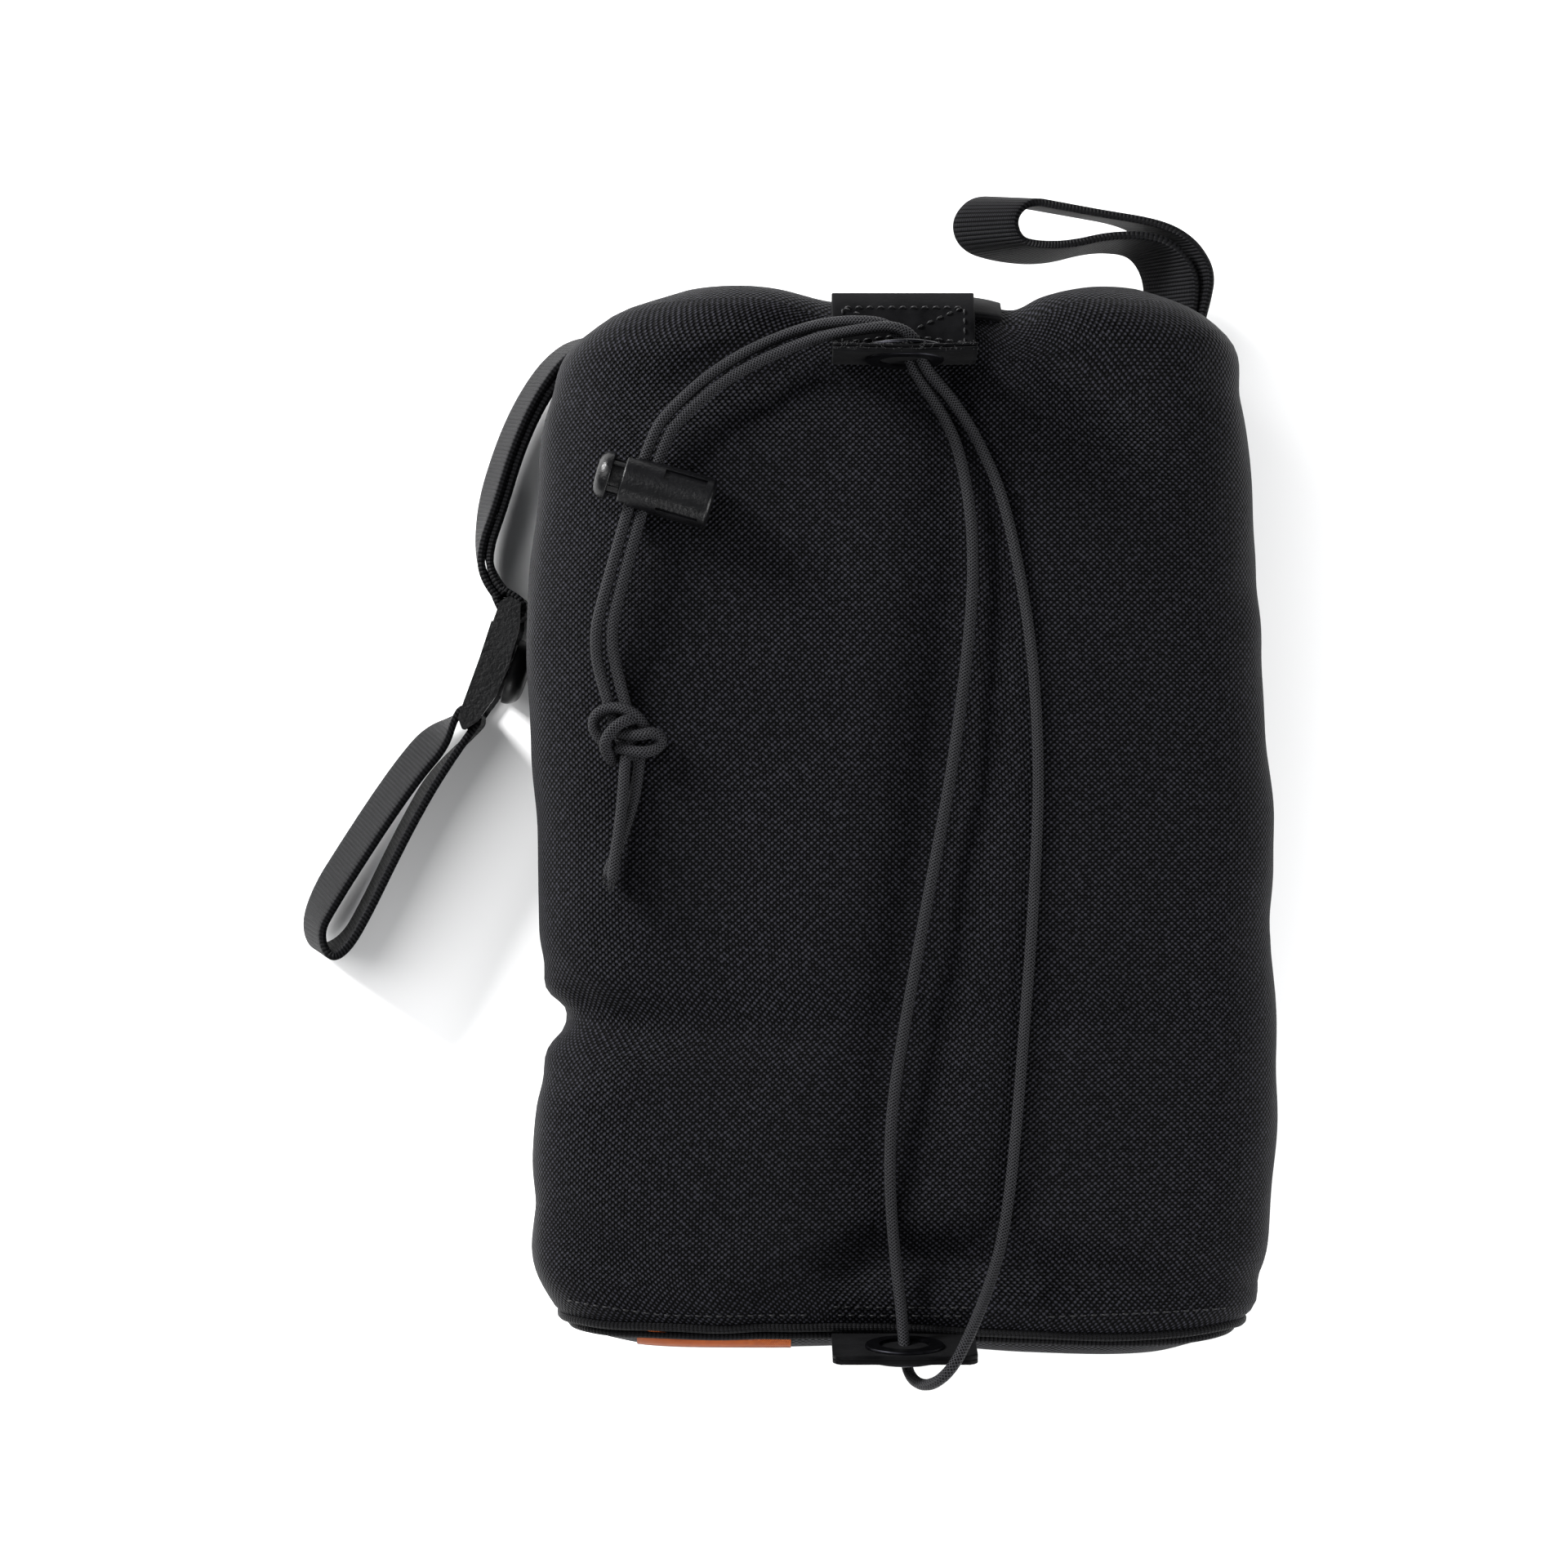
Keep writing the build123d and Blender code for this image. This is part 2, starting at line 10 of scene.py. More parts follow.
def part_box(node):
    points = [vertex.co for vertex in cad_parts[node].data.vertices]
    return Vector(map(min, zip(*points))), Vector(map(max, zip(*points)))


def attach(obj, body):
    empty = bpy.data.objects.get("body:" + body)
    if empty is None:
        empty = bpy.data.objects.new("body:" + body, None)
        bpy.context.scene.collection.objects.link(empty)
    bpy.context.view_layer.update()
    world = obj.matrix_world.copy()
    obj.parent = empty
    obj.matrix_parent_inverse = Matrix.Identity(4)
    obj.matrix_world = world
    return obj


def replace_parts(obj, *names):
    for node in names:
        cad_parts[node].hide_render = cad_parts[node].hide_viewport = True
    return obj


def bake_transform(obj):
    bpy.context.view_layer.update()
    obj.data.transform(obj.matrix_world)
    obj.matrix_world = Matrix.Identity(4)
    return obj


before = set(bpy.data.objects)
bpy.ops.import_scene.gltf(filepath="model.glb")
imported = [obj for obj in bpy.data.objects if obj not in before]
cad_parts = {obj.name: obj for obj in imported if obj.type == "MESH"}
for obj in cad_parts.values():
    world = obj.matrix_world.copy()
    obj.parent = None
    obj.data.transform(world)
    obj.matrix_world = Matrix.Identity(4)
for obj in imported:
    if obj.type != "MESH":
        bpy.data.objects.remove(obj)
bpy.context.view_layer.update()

# Lengths are in metres, in the row frame. MM turns the millimetres of the design into metres.
MM = 0.001
SCENE = bpy.context.scene
RANDOM = random.Random(7)
MIRROR_Y = Matrix.Diagonal((1, -1, 1, 1))

# ---- sizes --------------------------------------------------------------------------------
COVER_LOW, COVER_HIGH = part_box("cover_wrap")
FRONT_Z = COVER_HIGH.z
HALF_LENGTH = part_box("cover_top_panel")[1].y
SEAM_Y = COVER_LOW.y
TOP_SEAM_Y = COVER_HIGH.y
END_ROUND = 16 * MM
CORD_R = 1.4 * MM
WEB_WIDTH = 20 * MM
WEB_THICK = 2.0 * MM
PLY_SHIFT = 1.12 * MM       # from the middle of the doubled strap to the middle of each layer
WEAVE_PITCH = (0.81 * MM, 0.73 * MM)
LINER_PITCH = (0.4 * MM, 0.4 * MM)
LABEL_PITCH = (0.3 * MM, 0.3 * MM)
RIB_PITCH = 1.05 * MM       # the webbing's ribs, and the dots along each rib
DOT_PITCH = 0.62 * MM
BRAID_PITCH = 0.42 * MM
BRAID_SLOPE = 0.75
FIBRE_R = 0.07 * MM

TAB_X = -1 * MM
TAB_WIDTH = 35 * MM
TAB_THICK = 2.2 * MM
TAB_DEPTH = 22 * MM
TAB_TILT = math.radians(6)
TAB_PLY = 0.46 * TAB_THICK          # each of a tab's two layers of cloth
TAB_PLY_LIFT = 0.26 * TAB_THICK     # from the tab's middle to the middle of a layer
TAB_PULL = 2.4 * MM                 # how far the top tab draws the bag's upper edge in
EDGE_SOFT = 0.35 * MM
PATCH_THICK = 1.6 * MM
PATCH_SPAN = (34, 86)               # the patch's degrees round the bag's upper edge
PATCH_SHIFT = (4.0 * MM, 6.5 * MM)  # how far its two sides lie to the left of the CAD patch's
TOP_SHELF_Y = 111.8 * MM
BOTTOM_SHELF_Y = 127.4 * MM
SHELF_ROOT_Z = FRONT_Z + 0.2 * MM + TAB_THICK / 2

SEAM_RIB_R = 1.05 * MM
SEAM_RIB_LIFT = 0.35 * MM
LABEL_THICK = 0.5 * MM
LABEL_LIFT = 0.45 * MM
LABEL_ABOVE_SEAM = 0.4 * MM
LABEL_ROWS = 7
TAB_STITCH = (2.7 * MM, 0.55 * MM)      # pitch and thickness
COVER_STITCH = (2.6 * MM, 0.45 * MM)


# ---- general helpers ----------------------------------------------------------------------
def mm(*values):
    return tuple(v * MM for v in values)


def smooth_through(knots, at):
    """A smooth curve through (position, value) pairs in millimetres, read at positions in metres."""
    place, value = np.array(sorted(knots), float).T * MM
    slope = np.gradient(value, place)
    at = np.clip(at, place[0], place[-1])
    i = np.clip(np.searchsorted(place, at) - 1, 0, len(place) - 2)
    span = place[i + 1] - place[i]
    t = (at - place[i]) / span
    near = value[i] * (1 + 2 * t) * (1 - t) ** 2 + value[i + 1] * t * t * (3 - 2 * t)
    return near + span * (slope[i] * t * (1 - t) ** 2 - slope[i + 1] * t * t * (1 - t))


def smooth_step(value, low, high):
    t = np.clip((value - low) / (high - low), 0, 1)
    return t * t * (3 - 2 * t)


def add_object(name, mesh, material=None):
    piece = bpy.data.objects.new(name, mesh)
    SCENE.collection.objects.link(piece)
    if material:
        mesh.materials.append(material)
    mesh.polygons.foreach_set("use_smooth", [True] * len(mesh.polygons))
    return piece


def face_outwards(mesh):
    work = bmesh.new()
    work.from_mesh(mesh)
    bmesh.ops.recalc_face_normals(work, faces=work.faces)
    work.to_mesh(mesh)
    work.free()


def grid_mesh(name, points, uv, wrap=True, caps=False):
    """A mesh from points[row][column], with uv[row][column] and one more column where it wraps."""
    rows, columns = points.shape[:2]
    strips = columns if wrap else columns - 1
    i, j = np.meshgrid(np.arange(rows - 1), np.arange(strips), indexing="ij")
    i, j = i.ravel(), j.ravel()
    k = (j + 1) % columns
    here = i * columns
    faces = np.stack([here + j, here + k, here + columns + k, here + columns + j], 1).tolist()
    corners = np.stack([uv[i, j], uv[i, j + 1], uv[i + 1, j + 1], uv[i + 1, j]], 1).reshape(-1, 2)
    if caps:
        last = (rows - 1) * columns
        faces += [list(range(columns)), [last + c for c in range(columns)]]
        corners = np.concatenate([corners, np.zeros((2 * columns, 2))])
    mesh = bpy.data.meshes.new(name)
    mesh.from_pydata(points.reshape(-1, 3).tolist(), [], faces)
    layer = mesh.uv_layers.new(name="threads")
    layer.data.foreach_set("uv", corners.astype(np.float32).ravel())
    face_outwards(mesh)
    return mesh


def joined(name, meshes, material=None):
    """Several meshes as one piece."""
    work = bmesh.new()
    for mesh in meshes:
        work.from_mesh(mesh)
    whole = bpy.data.meshes.new(name)
    work.to_mesh(whole)
    work.free()
    return add_object(name, whole, material)


def nurbs_line(points, steps=10):
    """Points along one smooth open spline that has the given control points."""
    curve = bpy.data.curves.new("route", "CURVE")
    curve.dimensions = "3D"
    curve.resolution_u = steps
    spline = curve.splines.new("NURBS")
    spline.points.add(len(points) - 1)
    for target, point in zip(spline.points, points):
        target.co = (*point, 1.0)
    spline.order_u = 3
    spline.use_endpoint_u = True
    holder = bpy.data.objects.new("route", curve)
    mesh = bpy.data.meshes.new_from_object(holder)
    line = np.array([v.co for v in mesh.vertices], float)
    bpy.data.objects.remove(holder)
    bpy.data.curves.remove(curve)
    return line


def directions(line):
    along = np.gradient(line, axis=0)
    return along / np.linalg.norm(along, axis=1, keepdims=True)


def lengths(line):
    steps = np.linalg.norm(np.diff(line, axis=0), axis=1)
    return np.concatenate([[0], np.cumsum(steps)])


def tube_mesh(name, line, radii, sides=14):
    """A round tube along a line, with closed ends. radii is one value or one for each point."""
    along = directions(line)
    radii = np.broadcast_to(radii, len(line))
    side = Vector(along[0]).orthogonal().normalized()
    turn = np.linspace(0, 2 * math.pi, sides, endpoint=False)
    rings = []
    for centre, way, radius in zip(line, along, radii):
        way = Vector(way)
        side = (side - way * side.dot(way)).normalized()
        other = way.cross(side)
        ring = np.outer(np.cos(turn), side) + np.outer(np.sin(turn), other)
        rings.append(centre + radius * ring)
    distance = lengths(line)
    around = np.linspace(0, 2 * math.pi * CORD_R, sides + 1)
    uv = np.stack(np.meshgrid(distance, around, indexing="ij"), -1)
    return grid_mesh(name, np.array(rings), uv, caps=True)


# ---- materials ----------------------------------------------------------------------------
class Shader:
    """A material's nodes, with short calls for the few kinds used here."""

    def __init__(self, name, roughness, specular=0.5):
        self.material = bpy.data.materials.new(name)
        self.material.use_nodes = True
        self.tree = self.material.node_tree
        self.surface = self.tree.nodes["Principled BSDF"]
        self.surface.inputs["Roughness"].default_value = roughness
        self.surface.inputs["Specular IOR Level"].default_value = specular

    def add(self, kind, **settings):
        node = self.tree.nodes.new(kind)
        for key, value in settings.items():
            setattr(node, key, value)
        return node

    def link(self, source, target):
        self.tree.links.new(source, target)

    def feed(self, value, socket):
        if isinstance(value, (int, float, tuple)):
            socket.default_value = value
        else:
            self.link(value, socket)

    def math(self, operation, a, b=0.0):
        node = self.add("ShaderNodeMath", operation=operation)
        self.feed(a, node.inputs[0])
        self.feed(b, node.inputs[1])
        return node.outputs[0]

    def thread_place(self):
        """The two coordinates of the threads, in metres."""
        source = self.add("ShaderNodeUVMap", uv_map="threads")
        split = self.add("ShaderNodeSeparateXYZ")
        self.link(source.outputs[0], split.inputs[0])
        return split.outputs[0], split.outputs[1]

    def place(self):
        return self.add("ShaderNodeTexCoord").outputs["Object"]

    def noise(self, scale, detail=3.0, vector=None):
        node = self.add("ShaderNodeTexNoise")
        node.inputs["Scale"].default_value = scale
        node.inputs["Detail"].default_value = detail
        self.link(vector or self.place(), node.inputs["Vector"])
        return node.outputs[0]

    def ramp(self, value, low, high, dark, light):
        """A colour from dark to light as value goes from low to high."""
        node = self.add("ShaderNodeValToRGB")
        first, last = node.color_ramp.elements
        first.position, first.color = low, (*dark, 1)
        last.position, last.color = high, (*light, 1)
        self.feed(value, node.inputs[0])
        return node.outputs[0]

    def wave(self, value, pitch, shift=0.0):
        """A sine of value that changes sign every pitch."""
        scaled = self.math("MULTIPLY", value, math.pi / pitch)
        return self.math("SINE", self.math("ADD", scaled, shift))

    def shift_colour(self, colour, factor):
        """Colour made lighter or darker by a factor."""
        node = self.add("ShaderNodeVectorMath", operation="SCALE")
        self.link(colour, node.inputs[0])
        self.feed(factor, node.inputs["Scale"])
        return node.outputs[0]

    def finish(self, colour=None, height=None, strength=0.5, depth=0.2 * MM, sheen=0.0, rough=None):
        if colour is not None:
            self.feed(colour, self.surface.inputs["Base Color"])
        if rough is not None:
            self.feed(rough, self.surface.inputs["Roughness"])
        if height is not None:
            bump = self.add("ShaderNodeBump")
            bump.inputs["Strength"].default_value = strength
            bump.inputs["Distance"].default_value = depth
            self.link(height, bump.inputs["Height"])
            self.link(bump.outputs[0], self.surface.inputs["Normal"])
        self.surface.inputs["Sheen Weight"].default_value = sheen
        self.surface.inputs["Sheen Roughness"].default_value = 0.5
        return self.material


def uneven(shader, spread, scale=22.0):
    """A slow change of brightness over a piece, about 1."""
    return shader.math("ADD", 1 - spread / 2, shader.math("MULTIPLY", shader.noise(scale), spread))


def woven_material(name, dark, light, pitch, strength=0.9, sheen=0.005):
    """Plain weave: threads that pass over each other by turns. The threads on top are painted lighter as a
    painted highlight and the others darker as painted shade; the slubs are the yarn's own uneven tone.
    """
    shader = Shader(name, 0.55, 0.03)
    u, v = shader.thread_place()
    weave = shader.math("MULTIPLY", shader.wave(u, pitch[0]), shader.wave(v, pitch[1]))
    slub = shader.noise(900.0, 2.0)
    level = shader.math("ADD", shader.math("MULTIPLY", weave, 0.6), slub)
    # painted highlight on the threads that lie on top and painted shade on the rest, plus the yarn's own
    # random slubs
    colour = shader.ramp(level, 0.55, 1.12, dark, light)
    colour = shader.shift_colour(colour, uneven(shader, 0.5))
    return shader.finish(colour, weave, strength, 0.16 * MM, sheen)


def webbing_material(name, dark, light):
    """Ribs across the strap, each a row of small thread crossings, painted lighter on the crests as a painted
    highlight and darker in the grooves as painted shade.
    """
    shader = Shader(name, 0.5, 0.04)
    u, v = shader.thread_place()
    rib = shader.math("ABSOLUTE", shader.wave(u, RIB_PITCH))
    dots = shader.math("ABSOLUTE", shader.wave(v, DOT_PITCH))
    level = shader.math("MULTIPLY", rib, shader.math("ADD", 0.45, shader.math("MULTIPLY", dots, 0.55)))
    fuzz = shader.math("MULTIPLY", shader.noise(1400.0, 2.0), 0.3)
    # painted highlight on the rib crests and painted shade in the grooves; the fuzz noise is the yarn's own
    # uneven tone
    colour = shader.ramp(shader.math("ADD", level, fuzz), 0.25, 1.15, dark, light)
    colour = shader.shift_colour(colour, uneven(shader, 0.4))
    return shader.finish(colour, level, 0.9, 0.35 * MM, 0.008)


def braid_material(name, dark, light):
    """Fine braid: two families of threads that wind opposite ways, painted lighter on the thread crests as a
    painted highlight and darker between them as painted shade.
    """
    shader = Shader(name, 0.45, 0.05)
    u, v = shader.thread_place()
    left = shader.wave(shader.math("ADD", u, shader.math("MULTIPLY", v, BRAID_SLOPE)), BRAID_PITCH)
    right = shader.wave(shader.math("SUBTRACT", u, shader.math("MULTIPLY", v, BRAID_SLOPE)), BRAID_PITCH)
    weave = shader.math("MAXIMUM", left, right)
    fuzz = shader.math("MULTIPLY", shader.noise(1500.0, 2.0), 0.5)
    # painted highlight on the thread crests and painted shade between them, plus the yarn's own random fuzz
    colour = shader.ramp(shader.math("ADD", weave, fuzz), 0.6, 1.4, dark, light)
    colour = shader.shift_colour(colour, uneven(shader, 0.35, 60.0))
    return shader.finish(colour, weave, 0.8, 0.12 * MM, 0.01)


def coated_material():
    """Rubber-coated cloth: smooth satin with a faint weave and scuffs."""
    shader = Shader("coated_cloth", 0.5, 0.03)
    grain = shader.noise(1200.0, 2.0)
    scuffs = shader.noise(180.0, 6.0)
    height = shader.math("ADD", grain, shader.math("MULTIPLY", scuffs, 1.5))
    colour = shader.ramp(scuffs, 0.35, 0.75, (0.0008, 0.0008, 0.001), (0.003, 0.003, 0.0034))
    rough = shader.math("ADD", 0.34, shader.math("MULTIPLY", scuffs, 0.3))
    return shader.finish(colour, height, 0.35, 0.12 * MM, 0.01, rough)


def moulded_material(name, dark, light, grain=1100.0, strength=0.9, roughness=0.34):
    """Spark-textured plastic with worn, slightly lighter patches."""
    shader = Shader(name, roughness - 0.06, 0.2)
    fine = shader.noise(grain, 3.0)
    wear = shader.noise(120.0, 4.0)
    colour = shader.ramp(wear, 0.3, 0.8, dark, light)
    rough = shader.math("ADD", roughness - 0.08, shader.math("MULTIPLY", wear, 0.2))
    return shader.finish(colour, fine, strength, 0.15 * MM, 0.0, rough)


def metal_material(name, colour, roughness):
    shader = Shader(name, roughness, 0.5)
    shader.surface.inputs["Metallic"].default_value = 1.0
    scratches = shader.noise(700.0, 5.0)
    dark = tuple(0.7 * c for c in colour)
    rough = shader.math("ADD", roughness - 0.1, shader.math("MULTIPLY", scratches, 0.25))
    tone = shader.ramp(scratches, 0.3, 0.7, dark, colour)
    return shader.finish(tone, scratches, 0.12, 0.05 * MM, 0.0, rough)


def thread_material(name, dark, light):
    """Twisted sewing thread."""
    shader = Shader(name, 0.5, 0.2)
    twist = shader.noise(2600.0, 2.0)
    return shader.finish(shader.ramp(twist, 0.35, 0.65, dark, light), twist, 0.5, 0.1 * MM, 0.03)


def bead_material():
    """Pale foam beads that touch, painted darker towards each bead's edge as painted shade where the beads
    meet.
    """
    shader = Shader("foam_beads", 0.7, 0.3)
    cells = shader.add("ShaderNodeTexVoronoi")
    cells.inputs["Scale"].default_value = 350.0
    shader.link(shader.place(), cells.inputs["Vector"])
    # painted shade: each bead lighter at its middle and darker where it meets the next
    colour = shader.ramp(cells.outputs[0], 0.0, 0.6, (0.8, 0.8, 0.77), (0.5, 0.5, 0.48))
    return shader.finish(colour, cells.outputs[0], 0.6, 1.0 * MM)


# In the woven, webbing and braid finishes the light colour is partly a painted highlight on thread crests,
# and the dark colour partly painted shade between them
NYLON = woven_material("woven_nylon", (0.0, 0.0, 0.0001), (0.0165, 0.0165, 0.021), WEAVE_PITCH, 1.0)
LINER = woven_material("liner_cloth", (0.03, 0.03, 0.032), (0.09, 0.09, 0.1), LINER_PITCH, 0.4)
TAPE = webbing_material("seam_tape", (0.0001, 0.0001, 0.0001), (0.0042, 0.0042, 0.005))
WEBBING = webbing_material("ribbed_webbing", (0.0001, 0.0001, 0.0001), (0.0062, 0.0062, 0.0072))
BRAID = braid_material("cord_braid", (0.0001, 0.0001, 0.0002), (0.019, 0.019, 0.021))
COATED = coated_material()
LOCK_PLASTIC = moulded_material("lock_plastic", (0.0006, 0.0006, 0.0008), (0.0024, 0.0024, 0.003))
BUCKLE_PLASTIC = moulded_material("buckle_plastic", (0.0004, 0.0004, 0.0005), (0.0016, 0.0016, 0.002))
STUD_PLASTIC = moulded_material("stud_plastic", (0.0004, 0.0004, 0.0005), (0.001, 0.001, 0.0013), 900.0, 0.15)
EYELET_METAL = metal_material("black_eyelet", (0.01, 0.01, 0.012), 0.36)
SPRING_STEEL = metal_material("spring_steel", (0.6, 0.6, 0.6), 0.25)
MAGNET_METAL = metal_material("magnet_nickel", (0.65, 0.63, 0.6), 0.2)
THREAD = thread_material("sewing_thread", (0.0003, 0.0003, 0.0004), (0.0045, 0.0045, 0.0055))
LABEL_CLOTH = woven_material("label_cloth", (0.12, 0.02, 0.001), (0.3, 0.075, 0.006), LABEL_PITCH, 0.3)
BEADS = bead_material()


# ---- camera, floor and light --------------------------------------------------------------
CAMERA_PLACE = mm(-30.2, 8.8, 1290.0)
FLOOR_HALF = 3.0
# Name, place, target, size in metres and power in watts.
LIGHTS = [
    ("key", (-1.15, 1.0, 0.62), (0, 0, 0.06), 0.45, 80),
    ("soft", (-0.9, 0.5, 1.5), (0, 0, 0), 1.2, 24),
    ("right", (1.3, -0.5, 0.7), (0, 0, 0.05), 0.9, 34),
    ("low", (0.1, -1.5, 0.8), (0, 0, 0.03), 0.9, 22),
]
WORLD_COLOUR = (0.95, 0.97, 1.0, 1)
WORLD_STRENGTH = 0.3


def make_camera():
    lens = bpy.data.cameras.new("camera")
    lens.lens = 112.5
    lens.sensor_width = 36
    lens.clip_end = 20
    camera = bpy.data.objects.new("camera", lens)
    camera.location = CAMERA_PLACE
    SCENE.collection.objects.link(camera)
    SCENE.camera = camera


def make_floor():
    mesh = bpy.data.meshes.new("floor")
    corners = [(FLOOR_HALF * x, FLOOR_HALF * y, 0) for x, y in ((-1, -1), (1, -1), (1, 1), (-1, 1))]
    mesh.from_pydata(corners, [], [(0, 1, 2, 3)])
    shader = Shader("pale_floor", 0.6, 0.2)
    tone = shader.ramp(shader.noise(3.0), 0.3, 0.7, (0.86, 0.86, 0.86), (0.9, 0.9, 0.9))
    add_object("floor", mesh, shader.finish(tone))


def area_light(name, place, target, size, power):
    data = bpy.data.lights.new(name, "AREA")
    data.size = size
    data.energy = power
    lamp = bpy.data.objects.new(name, data)
    lamp.location = place
    lamp.rotation_euler = (Vector(target) - Vector(place)).to_track_quat("-Z", "Y").to_euler()
    SCENE.collection.objects.link(lamp)


def make_light():
    for light in LIGHTS:
        area_light(*light)
    world = bpy.data.worlds.new("studio")
    world.use_nodes = True
    background = world.node_tree.nodes["Background"]
    background.inputs["Color"].default_value = WORLD_COLOUR
    background.inputs["Strength"].default_value = WORLD_STRENGTH
    SCENE.world = world
    SCENE.view_settings.view_transform = "Standard"


# ---- the bag's outer form -----------------------------------------------------------------
# These tables are in millimetres.
# How far the bag reaches to each side, at places along its length.
LEFT_SIDE = [
    (132.5, 56), (128, 70), (122.9, 79), (104.2, 88.7), (79, 91.8), (42, 93.5), (4.7, 91.4), (-30, 91.0),
    (-42, 89.6), (-51, 86.2), (-60, 89.6), (-76, 92.4), (-95, 93.5), (-119.8, 90.2), (-126, 86),
    (-130, 79), (-132.5, 70),
]
RIGHT_SIDE = [
    (132.5, 60), (128, 72), (122.9, 79.6), (104.2, 84.1), (66.9, 86.4), (42, 88.9), (4.7, 91.8),
    (-32.7, 91.6), (-57.6, 93.5), (-88.7, 92.4), (-113.6, 88.9), (-126, 84.5), (-130, 77), (-132.5, 68),
]
# How far the top and bottom edges are pulled in, at places across the width.
TOP_PULL = [
    (-80, 1.5), (-63, 0.6), (-32, 0.8), (-21, 3.6), (0, 4.0), (20, 4.4), (26, 5.4), (34, 2.8), (44, 0.4),
    (60, 0), (80, 1.0),
]
BOTTOM_PULL = [(-80, 2.5), (-60, 1.6), (-30, 1.8), (0, 2.4), (30, 0.4), (65, 0), (80, 1.5)]
PULL_FROM = 95.0        # the pull fades in from here to the end of the bag

# Folds pressed into the front: the line that each follows, its depth and its half-width.
FOLDS = [
    ([(-96, -51), (-80, -48), (-60, -52)], 3.4, 5.0),
    ([(-96, -34), (-82, -41), (-70, -44)], 1.2, 4.0),
    ([(-96, -68), (-80, -59), (-66, -58)], 1.2, 4.5),
    ([(-92, -96), (-76, -107), (-56, -120)], 2.0, 6.0),
    ([(-34, -118), (-6, -108), (34, -110), (84, -117)], 3.4, 6.0),
    ([(6, 112), (12, 66), (10, 20), (0, -50), (-10, -104)], 3.4, 11.0),
    ([(20, 124), (44, 106), (62, 92)], 4.6, 9.0),
    ([(-18, 122), (-36, 108), (-62, 104)], 3.0, 8.0),
    ([(56, 60), (64, 10), (58, -50), (66, -100)], 1.3, 12.0),
    ([(-52, 60), (-46, 0), (-54, -70)], 1.0, 13.0),
    ([(94, -28), (80, -20), (66, -22)], 0.9, 6.0),
    ([(92, 60), (78, 54), (66, 62)], 0.8, 6.0),
]
# Places where the fill pushes the front out: centre, height and radius.
BULGES = [
    ((-68, 30), 3.6, 30),
    ((-60, 82), 3.0, 24),
    ((-66, -18), 2.0, 26),
    ((70, 74), 2.6, 24),
    ((52, -78), 1.2, 30),
]
AROUND = 300            # points round one cross-section
ROW_STEP = 2.0 * MM
CAP_ROWS = 12
ROUND_ROWS = 10
UPPER_POWER = 4.4       # how square the upper and lower halves of a cross-section are
LOWER_POWER = 5.5


def cross_section(left, right, low, high, size):
    """Evenly spaced points round one cross-section, as (x, z)."""
    angle = np.linspace(0, 2 * math.pi, 1600)
    power = np.where(np.sin(angle) > 0, 2 / UPPER_POWER, 2 / LOWER_POWER)
    x = np.sign(np.cos(angle)) * np.abs(np.cos(angle)) ** power
    z = np.sign(np.sin(angle)) * np.abs(np.sin(angle)) ** power
    x = np.where(x > 0, x * right, x * left)
    z = (low + high) / 2 + z * (high - low) / 2
    centre = (right - left) / 2
    x = centre + (x - centre) * size
    z = (low + high) / 2 + (z - (low + high) / 2) * size
    walked = np.concatenate([[0], np.cumsum(np.hypot(np.diff(x), np.diff(z)))])
    even = np.linspace(0, walked[-1], AROUND, endpoint=False)
    return np.interp(even, walked, x), np.interp(even, walked, z), walked[-1]


def row_list():
    """(y, how far the end rounding draws in, size of the section) from bottom to top."""
    flat_end = HALF_LENGTH - END_ROUND
    rows = [(y, 0.0, 1.0) for y in np.arange(0, flat_end, ROW_STEP)]
    for step in range(ROUND_ROWS + 1):
        turn = math.pi / 2 * step / ROUND_ROWS
        rows.append((flat_end + END_ROUND * math.sin(turn), END_ROUND * (1 - math.cos(turn)), 1.0))
    for step in range(1, CAP_ROWS):
        size = 1 - step / CAP_ROWS
        crown = 1.4 * MM * (1 - size ** 2)
        rows.append((HALF_LENGTH - 1.0 * MM + crown, END_ROUND, size))
    lower = [(-y, drawn, size) for y, drawn, size in rows[:0:-1]]
    return lower + rows


def fold_depth(points, line, depth, width):
    """How far in a fold presses each point: deepest along its line, with a soft ridge beside it."""
    line = np.array(line, float) * MM
    best = np.full(points.shape[:-1], 1e9)
    place = np.zeros(points.shape[:-1])
    reach = lengths(line)
    for start, end, walked in zip(line, line[1:], reach):
        way = end - start
        t = np.clip(((points[..., :2] - start) @ way) / (way @ way), 0, 1)
        gap = np.linalg.norm(points[..., :2] - start - t[..., None] * way, axis=-1)
        nearer = gap < best
        best = np.where(nearer, gap, best)
        place = np.where(nearer, (walked + t * np.linalg.norm(way)) / reach[-1], place)
    fade = np.sin(math.pi * np.clip(place, 0.04, 0.96)) ** 0.6
    press = np.exp(-(best / width) ** 2) - 0.35 * np.exp(-((best - 1.9 * width) / width) ** 2)
    return depth * fade * press


def slow_noise(points, size, seed):
    """Smooth unevenness from a few crossing waves, from about -1 to 1."""
    rng = np.random.default_rng(seed)
    total = np.zeros(points.shape[:-1])
    for _ in range(7):
        way = rng.normal(size=3)
        way /= np.linalg.norm(way)
        wavelength = size * rng.uniform(0.7, 1.6)
        total += np.sin(2 * math.pi * (points @ way) / wavelength + rng.uniform(0, 6.28))
    return total / 3.5


def outward(points):
    """Unit normals of a wrapped grid of points."""
    across = np.roll(points, -1, 1) - np.roll(points, 1, 1)
    along = np.gradient(points, axis=0)
    normal = np.cross(across, along)
    normal /= np.linalg.norm(normal, axis=-1, keepdims=True) + 1e-12
    middle = points.mean(axis=(0, 1))
    return normal if (normal * (points - middle)).sum() > 0 else -normal


